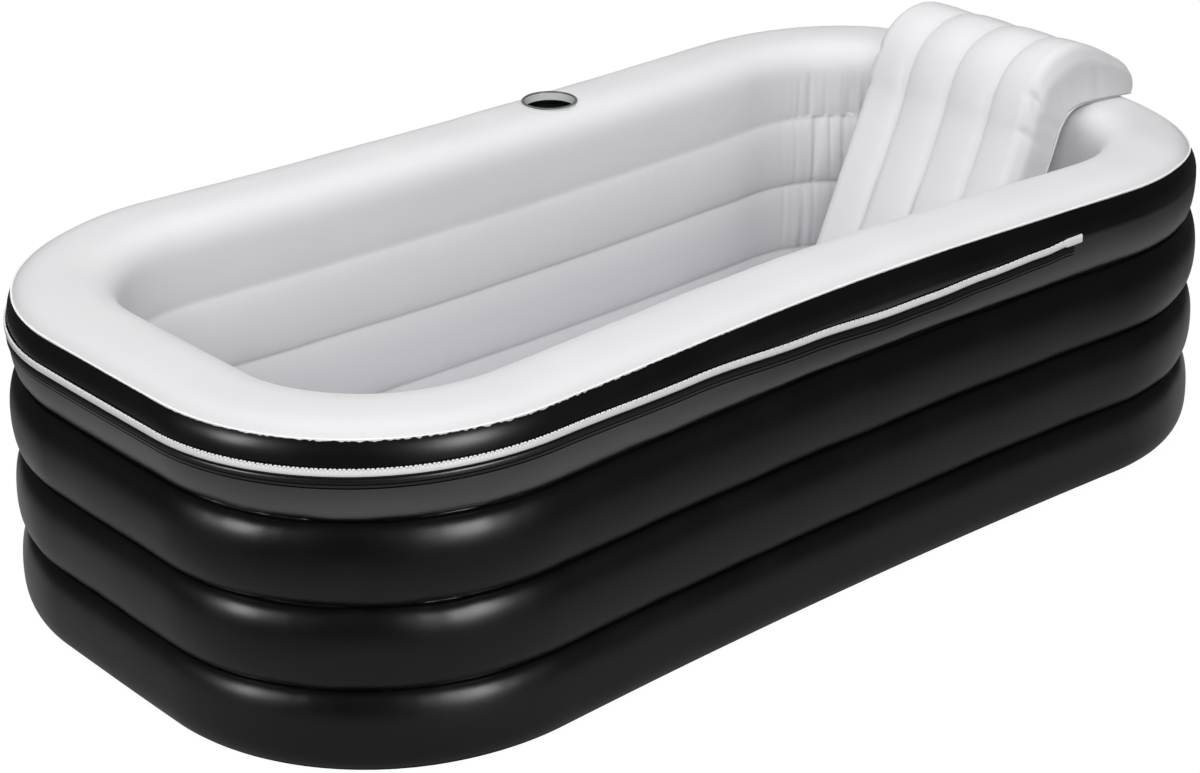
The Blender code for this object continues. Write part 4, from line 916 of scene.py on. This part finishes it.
def turned(name, profile, place, sides=72, closed=True, bevel=0.0):
    """A round piece drawn out of a circle: each (radius, height) is an extrude and a scale.
    Closed, the last ring joins the first; otherwise each end is capped."""
    bpy.ops.object.select_all(action="DESELECT")
    radius, height = profile[0]
    bpy.ops.mesh.primitive_circle_add(vertices=sides, radius=radius, fill_type="NOTHING")
    piece = bpy.context.object
    piece.location.z = height
    piece.name = name
    bpy.ops.object.mode_set(mode="EDIT")
    bpy.ops.mesh.select_all(action="SELECT")
    if not closed:
        bpy.ops.mesh.edge_face_add()
        bpy.ops.mesh.select_mode(type="EDGE")
        bpy.ops.mesh.select_all(action="SELECT")
    rings = profile[1:] + ([profile[0]] if closed else [])
    for wide, level in rings:
        bpy.ops.mesh.extrude_edges_move(TRANSFORM_OT_translate={"value": (0, 0, level - height)})
        bpy.ops.transform.resize(value=(wide / radius, wide / radius, 1))
        radius, height = wide, level
    if not closed:
        bpy.ops.mesh.edge_face_add()
    bpy.ops.mesh.select_all(action="SELECT")
    bpy.ops.mesh.remove_doubles(threshold=0.00001)
    bpy.ops.mesh.normals_make_consistent(inside=False)
    bpy.ops.object.mode_set(mode="OBJECT")
    piece.matrix_world = place @ piece.matrix_world
    bpy.ops.object.transform_apply()
    if bevel:
        rounded(piece, bevel)
    bpy.ops.object.shade_smooth_by_angle(angle=SHARP)
    return piece


def mm(*pairs):
    """Pairs of lengths in millimetres, turned into metres."""
    return [(first / 1000, second / 1000) for first, second in pairs]


collar_foot = TUB_HEIGHT - COLLAR_DEPTH
ring_profile = mm(
    (37.2, 401), (37.2, 418), (38.8, 418.2), (38.9, 419), (38.2, 419.6), (37.2, 419.9),
    (36.2, 419.7), (35.9, 419), (36, 416.5), (35.8, 410), (36, 401),
)
cup_ring = turned("cup_ring", ring_profile, Matrix.Translation(CUP_PLACE), 96)
# injection-moulded PVC, mid grey: smooth, faintly glossy, darker in a thin band at its lip
ring_pvc, tree, shader = finish_of("moulded_grey_pvc", Roughness=0.35)
place = height_of(tree)
tone = tint(tree, ramp(tree, place, 0.4172, 0.4180), "#E4E8E6", "#66686A")
sleeve = ramp(tree, place, 0.4068, 0.4074, 1.0, 0.0)
feed(shader, Base_Color=tint(tree, sleeve, tone, "#08080A"))
bumped(shader, mottle_of(tree, 700.0, 2.0), 0.1, 0.0002)
cup_ring.data.materials.append(ring_pvc)
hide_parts("cup_collar")
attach(cup_ring, "tub")

cup_foot = TUB_HEIGHT - CUP_DEPTH
waves = [(0.0003 * sin(k * 2.1), cup_foot + 0.004 + k * 0.0054) for k in range(11)]
sleeve_profile = [
    (0.004, cup_foot + 0.0006), (0.030, cup_foot + 0.0006), (0.0355, cup_foot + 0.0014),
    *[(0.0364 - wave, up) for wave, up in waves],
    (0.0365, collar_foot - 0.0008), (0.0371, collar_foot - 0.0004),
    *[(0.0371 - wave, up) for wave, up in reversed(waves)],
    (0.0365, cup_foot + 0.0003), (0.004, cup_foot + 0.0001),
]
cup_sleeve = turned("cup_sleeve", sleeve_profile, Matrix.Translation(CUP_PLACE), 96, closed=False)
for vertex in cup_sleeve.data.vertices:
    angle = atan2(vertex.co.y - CUP_PLACE.y, vertex.co.x - CUP_PLACE.x)
    slack = sin(pi * min(1.0, max(0.0, (vertex.co.z - cup_foot) / (collar_foot - cup_foot))))
    wrinkle = 1 - 0.022 * max(0, rough(cos(angle) * 3, sin(angle) * 3, vertex.co.z * 30)) * slack
    vertex.co.xy = CUP_PLACE.xy + (vertex.co.xy - CUP_PLACE.xy) * wrinkle
cup_sleeve.data.materials.append(dark_film)
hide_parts("cup_pocket")
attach(cup_sleeve, "tub")

# ----------
# The zip: the tub's half of a coil zip that holds a cover. A black woven tape is welded round the
# foot end under the rim; the white coil is sewn along its upper edge, and it ends in a moulded
# stop on the near side and a box on the far one.
# ----------

# (distance round the wall, height of the coil's middle)
ZIP_LEVELS = (
    (0.55, 0.3660), (1.20, 0.3662), (1.48, 0.3680), (1.87, 0.3700), (2.10, 0.3705),
    (2.30, 0.3722), (2.50, 0.3738), (2.71, 0.3688), (2.90, 0.3600), (3.04, 0.3545),
    (3.11, 0.3552), (3.20, 0.3590), (3.30, 0.3630), (3.345, 0.3666), (3.42, 0.3700),
)
ZIP_FIRST, ZIP_LAST = 0.6343, 3.3429
TAPE_PAST = 0.0125
TOOTH_PITCH = 0.0040


def zip_level(distance):
    """Height of the coil's middle at this distance round the wall."""
    for (first, low), (last, high) in zip(ZIP_LEVELS, ZIP_LEVELS[1:]):
        if distance <= last:
            return low + (high - low) * eased(distance, first, last)
    return ZIP_LEVELS[-1][1]


def rim_face(up):
    """How far the dark film of the rim stands outside the wall's middle line at this height."""
    if up < rim_middle:
        share = (1 - ((rim_middle - up) / rim_rise) ** 2.2) ** (1 / 2.2)
        return OUTER_CREASE + (RIM_REACH - SEAT - OUTER_CREASE) * share
    return (RIM_REACH - SEAT) * (1 - ((up - rim_middle) / (rim_rise - SEAT)) ** 3.4) ** (1 / 3.4)


def on_zip(distance, above, out):
    """A point on the zip: above the coil's middle, and out from the film under it."""
    up = zip_level(distance) + above
    return wall_place(along_the_run(distance), rim_face(up) + out, up)


def strip(name, first, last, count, profile):
    """A bar laid along the zip: a grid whose points are moved on to it. The profile is a list of
    (above, out), and a closed one ends where it starts."""
    bar = grid(name, count, len(profile) - 1)
    spots = []
    for vertex in bar.data.vertices:
        share = vertex.co.x + 0.5
        above, out = profile[round((vertex.co.y + 0.5) * (len(profile) - 1))]
        spots.append(((last - first) * share, above))
        vertex.co = on_zip(first + (last - first) * share, above, out)
    mapped(bar, spots)
    if profile[0] == profile[-1]:
        alone(bar)
        bpy.ops.object.mode_set(mode="EDIT")
        bpy.ops.mesh.select_all(action="SELECT")
        bpy.ops.mesh.remove_doubles(threshold=0.00001)
        bpy.ops.mesh.select_all(action="DESELECT")
        bpy.ops.mesh.select_mode(type="EDGE")
        bpy.ops.mesh.select_non_manifold()
        bpy.ops.mesh.edge_face_add()
        bpy.ops.mesh.select_all(action="SELECT")
        bpy.ops.mesh.normals_make_consistent(inside=False)
        bpy.ops.object.mode_set(mode="OBJECT")
    bpy.ops.object.shade_smooth_by_angle(angle=radians(40))
    return bar


tape_profile = mm((-12.5, 0.3), (-12.4, 0.9), (-6.5, 1), (0, 1.1), (4.95, 1.1), (5.75, 0.3))
tape = strip("zip_tape_weave", ZIP_FIRST - TAPE_PAST, ZIP_LAST + TAPE_PAST, 760, tape_profile)
# woven polyester tape: matt black, with the cross weave drawn at 1.2 mm, coarser than the real
# one so that it shows
tape_weave, tree, shader = finish_of("woven_black_polyester", Roughness=0.9)
shader.inputs["Specular IOR Level"].default_value = 0.05
where = node(tree, "UVMap", uv_map="UVMap"), 0
threads = []
for way, scale, distortion in (("DIAGONAL", 260.0, 0.0), ("Y", 340.0, 0.5)):
    settings = {"Scale": scale, "Distortion": distortion, "Vector": where}
    threads.append((node(tree, "TexWave", settings, bands_direction=way), "Fac"))
weave = sum_of(tree, "MULTIPLY", *threads)
feed(shader, Base_Color=tint(tree, weave, "#08080A", "#161618"))
bumped(shader, weave, 0.5, 0.0003)
tape.data.materials.append(tape_weave)
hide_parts("zip_tape")
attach(tape, "tub")

# the strip of film that is welded over the tape's lower half, with two dull pressed lines
strip_profile = mm(
    (-20.25, 0.2), (-20.05, 0.8), (-18.65, 0.9), (-18.15, 1.6), (-16.25, 2),
    (-13.25, 2.1), (-10.5, 1.9), (-8.8, 1.6), (-8, 1), (-7.8, 0.3),
)
cover = strip("zip_cover_strip", ZIP_FIRST - TAPE_PAST, ZIP_LAST + TAPE_PAST, 760, strip_profile)
# welded PVC film: the same satin black, gone dull and dark where the welding bar pressed it
strip_film, tree, shader = finish_of("welded_black_pvc", Base_Color=hue("#08080A"), Roughness=0.36)
where = node(tree, "UVMap", uv_map="UVMap"), 0
place = node(tree, "SeparateXYZ", {0: where}), "Y"
open_film = ramp(tree, place, -0.0184, -0.0176, 0.0, 0.6)
clear = ramp(tree, gap_from(tree, place, -0.0142), 0.0004, 0.0009)
feed(shader, Specular_IOR_Level=sum_of(tree, "MULTIPLY", open_film, clear))
wander = node(tree, "TexNoise", {"Scale": 120.0, "Detail": 3.0, "Vector": where}), "Fac"
bumped(shader, wander, 0.25, 0.0006)
cover.data.materials.append(strip_film)
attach(cover, "tub")

cord = mm(
    (-4.7, 1.2), (-4.5, 2.4), (-3.6, 3.1), (-1.8, 3.4), (0.8, 3.3), (2.3, 2.8),
    (2.8, 1.9), (2.7, 1.2), (-4.7, 1.2),
)
coil = strip("zip_coil_cord", ZIP_FIRST, ZIP_LAST, 760, cord)


def gathered(name, places, faces):
    """One piece out of the points and faces of many small ones."""
    mesh = bpy.data.meshes.new(name)
    mesh.from_pydata(places, [], faces)
    piece = bpy.data.objects.new(name, mesh)
    bpy.context.scene.collection.objects.link(piece)
    return piece


# one tooth: a low cylinder along the zip's height, its head swollen, then copied along the cord
bpy.ops.object.select_all(action="DESELECT")
bpy.ops.mesh.primitive_cylinder_add(vertices=8, radius=0.0013, depth=0.0052, end_fill_type="TRIFAN")
tooth = bpy.context.object
tooth.rotation_euler.x = pi / 2
tooth.location = (0, 0.0020, 0.0021)
bpy.ops.object.transform_apply()
bpy.ops.object.mode_set(mode="EDIT")
bpy.ops.mesh.select_all(action="SELECT")
bpy.ops.mesh.bisect(plane_co=(0, 0.0026, 0), plane_no=(0, 1, 0))
bpy.ops.mesh.select_all(action="SELECT")
bpy.ops.mesh.bisect(plane_co=(0, 0.0039, 0), plane_no=(0, 1, 0))
bpy.ops.object.mode_set(mode="OBJECT")
for vertex in tooth.data.vertices:
    if vertex.co.y > 0.0042:
        vertex.co.x *= 0.75
        vertex.co.z = 0.0021 + (vertex.co.z - 0.0021) * 0.7
    elif vertex.co.y > 0.0036:
        vertex.co.x *= 1.35
        vertex.co.z = 0.0021 + (vertex.co.z - 0.0021) * 1.25
    elif vertex.co.y > 0.0020:
        vertex.co.x *= 0.9
points = [vertex.co.copy() for vertex in tooth.data.vertices]
sides = [list(face.vertices) for face in tooth.data.polygons]
bpy.data.objects.remove(tooth)
count = int((ZIP_LAST - ZIP_FIRST) / TOOTH_PITCH)
places, faces = [], []
for number in range(count):
    distance = ZIP_FIRST + TOOTH_PITCH * (number + 0.5)
    lean_over = 0.16 * (1 if number % 2 else 0.4)
    start = len(places)
    for point in points:
        places.append(on_zip(distance + point.x + lean_over * point.y, point.y, point.z))
    faces += [[start + index for index in side] for side in sides]
teeth = gathered("zip_teeth", places, faces)
alone(teeth)
edited(bpy.ops.mesh.normals_make_consistent)
bpy.ops.object.shade_smooth_by_angle(angle=radians(50))
# extruded nylon: white, slightly translucent to the eye, with a soft gloss
coil_nylon = mottled("extruded_white_nylon", ("#F2F2F1", "#FBFBFA"), 0.38, (300.0, 2.0), 0.15)
for piece in (coil, teeth):
    piece.data.materials.append(coil_nylon)
    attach(piece, "tub")
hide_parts("zip_coil")

lump = mm((-5.2, 1), (-5.8, 3), (-4.4, 4.2), (4.2, 4.2), (5.8, 3), (5.2, 1), (-5.2, 1))
stop = strip("zip_stop", ZIP_LAST - 0.002, ZIP_LAST + 0.024, 16, lump)
lump = mm((-4.8, 1), (-5.1, 2.8), (-4, 3.8), (4, 3.8), (5.1, 2.8), (4.8, 1), (-4.8, 1))
box = strip("zip_box", ZIP_FIRST - 0.0113, ZIP_FIRST - 0.0003, 12, lump)
for piece, cad in ((stop, "zip_top_stop"), (box, "zip_retainer_box")):
    piece.data.materials.append(coil_nylon)
    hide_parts(cad)
    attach(piece, "tub")

# two rows of black lock stitches hold the coil's cord to the tape
STITCH_PITCH = 0.0036
places, faces = [], []
for row, out in ((-0.0052, 0.0013), (-0.0064, 0.0012)):
    for number in range(int((ZIP_LAST - ZIP_FIRST) / STITCH_PITCH)):
        distance = ZIP_FIRST + STITCH_PITCH * (number + 0.5)
        start = len(places)
        for along, height in ((-0.0013, 0.0), (-0.0007, 0.00035), (0.0007, 0.00035), (0.0013, 0.0)):
            for above in (-0.0003, 0.0, 0.0003):
                raised = height * (1.0 if above == 0 else 0.45)
                places.append(on_zip(distance + along, row + above, out + raised))
        for i in range(3):
            for j in range(2):
                first = start + 3 * i + j
                faces.append([first, first + 3, first + 4, first + 1])
stitches = gathered("zip_stitches", places, faces)
thread = mottled("twisted_black_thread", "#2A2A2C", 0.7, (2500.0, 2.0), 0.3, 0.0001)
stitches.data.materials.append(thread)
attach(stitches, "tub")

# ----------
# The zip's slider and its pull tab: die-cast zinc with a white enamel, its edges rounded by the
# tumbling barrel. It is parked against the box on the far side.
# ----------


def rounded_copy(name, cad, width):
    """A copy of a hard piece's solid, its flat faces made whole again and its edges rounded."""
    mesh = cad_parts[cad].data.copy()
    mesh.materials.clear()
    piece = bpy.data.objects.new(name, mesh)
    bpy.context.scene.collection.objects.link(piece)
    alone(piece)
    bpy.ops.object.mode_set(mode="EDIT")
    bpy.ops.mesh.select_all(action="SELECT")
    bpy.ops.mesh.remove_doubles(threshold=0.00001)
    bpy.ops.mesh.dissolve_limited(angle_limit=radians(2))
    bpy.ops.object.mode_set(mode="OBJECT")
    rounded(piece, width)
    bpy.ops.object.shade_smooth_by_angle(angle=SHARP)
    return piece


# enamelled zinc: white, hard gloss with a little orange peel
enamel = mottled("white_enamelled_zinc", "#ECECEA", 0.22, (900.0, 1.0), 0.08)
for name, cad, body in (
    ("slider_body", "zip_slider", "slider"),
    ("slider_tab", "zip_pull_tab", "pull_tab"),
):
    piece = rounded_copy(name, cad, 0.00028)
    piece.data.materials.append(enamel)
    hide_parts(cad)
    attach(piece, body)

# ----------
# The wall valve, on the far side: a moulded ring welded to the film, a screwed insert with a
# soft flap behind it, and a cap on a strap.
# ----------

wall_valve = Matrix(((-1, 0, 0, 0), (0, 0, 1, 0.409715), (0, 1, 0, 0.2565), (0, 0, 0, 1)))
base_profile = mm(
    (12.6, 2.6), (15, 2.6), (15, 1.4), (20.6, 1.4), (21, 1), (21.5, 1), (21.9, 1.4),
    (24, 1.2), (24, 0), (15, 0), (15, -18), (12.6, -18),
)
valve_base = turned("valve_base", base_profile, wall_valve, 96, bevel=0.00025)
insert_profile = mm((9.6, 4.9), (16.2, 4.9), (17, 4.4), (17, 2.9), (12.2, 2.9))
for k in range(5):
    ridge = ((12.2, -0.6), (11.6, -1.2), (11.6, -1.8), (12.2, -2.4))
    insert_profile += mm(*[(wide, up - 2 * k) for wide, up in ridge])
insert_profile += mm((12.2, -12), (9.6, -12))
valve_insert = turned("valve_insert", insert_profile, wall_valve, 96, bevel=0.00012)
bpy.ops.object.select_all(action="DESELECT")
bpy.ops.mesh.primitive_cube_add(size=1)
valve_bar = bpy.context.object
valve_bar.name = "valve_bar"
bpy.ops.object.mode_set(mode="EDIT")
bpy.ops.transform.resize(value=(0.006, 0.0205, 0.0014))
bpy.ops.transform.translate(value=(0, 0, -0.0109))
bpy.ops.mesh.bevel(offset=0.0003, segments=3)
bpy.ops.object.mode_set(mode="OBJECT")
valve_bar.matrix_world = wall_valve
bpy.ops.object.transform_apply()
bpy.ops.object.shade_smooth_by_angle(angle=SHARP)
valve_cap = rounded_copy("valve_cap", "wall_valve_cap", 0.0003)
valve_flap = rounded_copy("valve_flap", "wall_valve_flap", 0.0002)
# injection-moulded PVC, natural: milky white, smooth, a little glossy
whites = ("#CFCFCC", "#DCDCD9")
fitting_pvc = mottled("moulded_natural_pvc", whites, 0.28, (120.0, 3.0), 0.05, Distortion=1.0)
# soft PVC sheet: grey, rubbery, quite dull
flap_pvc = mottled("soft_grey_pvc", "#8E8E90", 0.55, (900.0, 2.0), 0.15)
for piece, cad, body, finish in (
    (valve_base, "wall_valve_base", "tub", fitting_pvc),
    (valve_insert, "wall_valve_insert", "valve_insert", fitting_pvc),
    (valve_cap, "wall_valve_cap", "valve_cap", fitting_pvc),
    (valve_flap, "wall_valve_flap", "valve_flap", flap_pvc),
):
    piece.data.materials.append(finish)
    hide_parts(cad)
    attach(piece, body)
valve_bar.data.materials.append(fitting_pvc)
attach(valve_bar, "valve_insert")

# ----------
# The small stem valves of the floor and the backrest: a flanged stem of the same moulded PVC,
# welded into the film, with a plug and an ear to pull it by.
# ----------

STEM = mm(
    (3.1, 10), (4.4, 10), (5, 9.4), (5, 1.6), (5.8, 1), (12, 0.9), (12.4, 0.5),
    (12.9, 0.9), (14, 0.7), (14, 0), (5, 0), (5, -6), (3.1, -6),
)
c, s = BACK_WAY
backrest_valve = Matrix(((0, c, s), (1, 0, 0), (0, s, -c))).to_4x4()
backrest_valve.translation = (0.546973, 0.03875, 0.187641)
for name, place, body, plug_body in (
    ("floor_valve", Matrix.Translation(FLOOR_VALVE), "tub", "floor_plug"),
    ("backrest_valve", backrest_valve, "backrest", "backrest_plug"),
):
    stem = turned(f"{name}_tube", STEM, place, 64)
    plug = rounded_copy(f"{name}_stopper", f"{name}_plug", 0.0003)
    for piece, cad, on in ((stem, f"{name}_stem", body), (plug, f"{name}_plug", plug_body)):
        piece.data.materials.append(fitting_pvc)
        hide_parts(cad)
        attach(piece, on)

# ----------
# The drain, through the lowest chamber of the head end: a black moulded tube with a welded
# flange at each side, a ribbed cap outside and a stopper with a ring inside.
# ----------

# injection-moulded polypropylene, black: satin, very finely textured by the mould
black_pp = mottled("moulded_black_pp", ("#101011", "#1A1A1C"), 0.38, (1300.0, 2.0), 0.2)
for cad, body, width in (
    ("drain_tube", "tub", 0.0003),
    ("drain_outer_flange", "tub", 0.0004),
    ("drain_inner_flange", "tub", 0.0004),
    ("drain_cap", "cap_of_drain", 0.0003),
    ("drain_stopper", "stopper_of_drain", 0.0002),
):
    piece = rounded_copy(f"{cad}_moulding", cad, width)
    piece.data.materials.append(black_pp)
    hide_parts(cad)
    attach(piece, body)
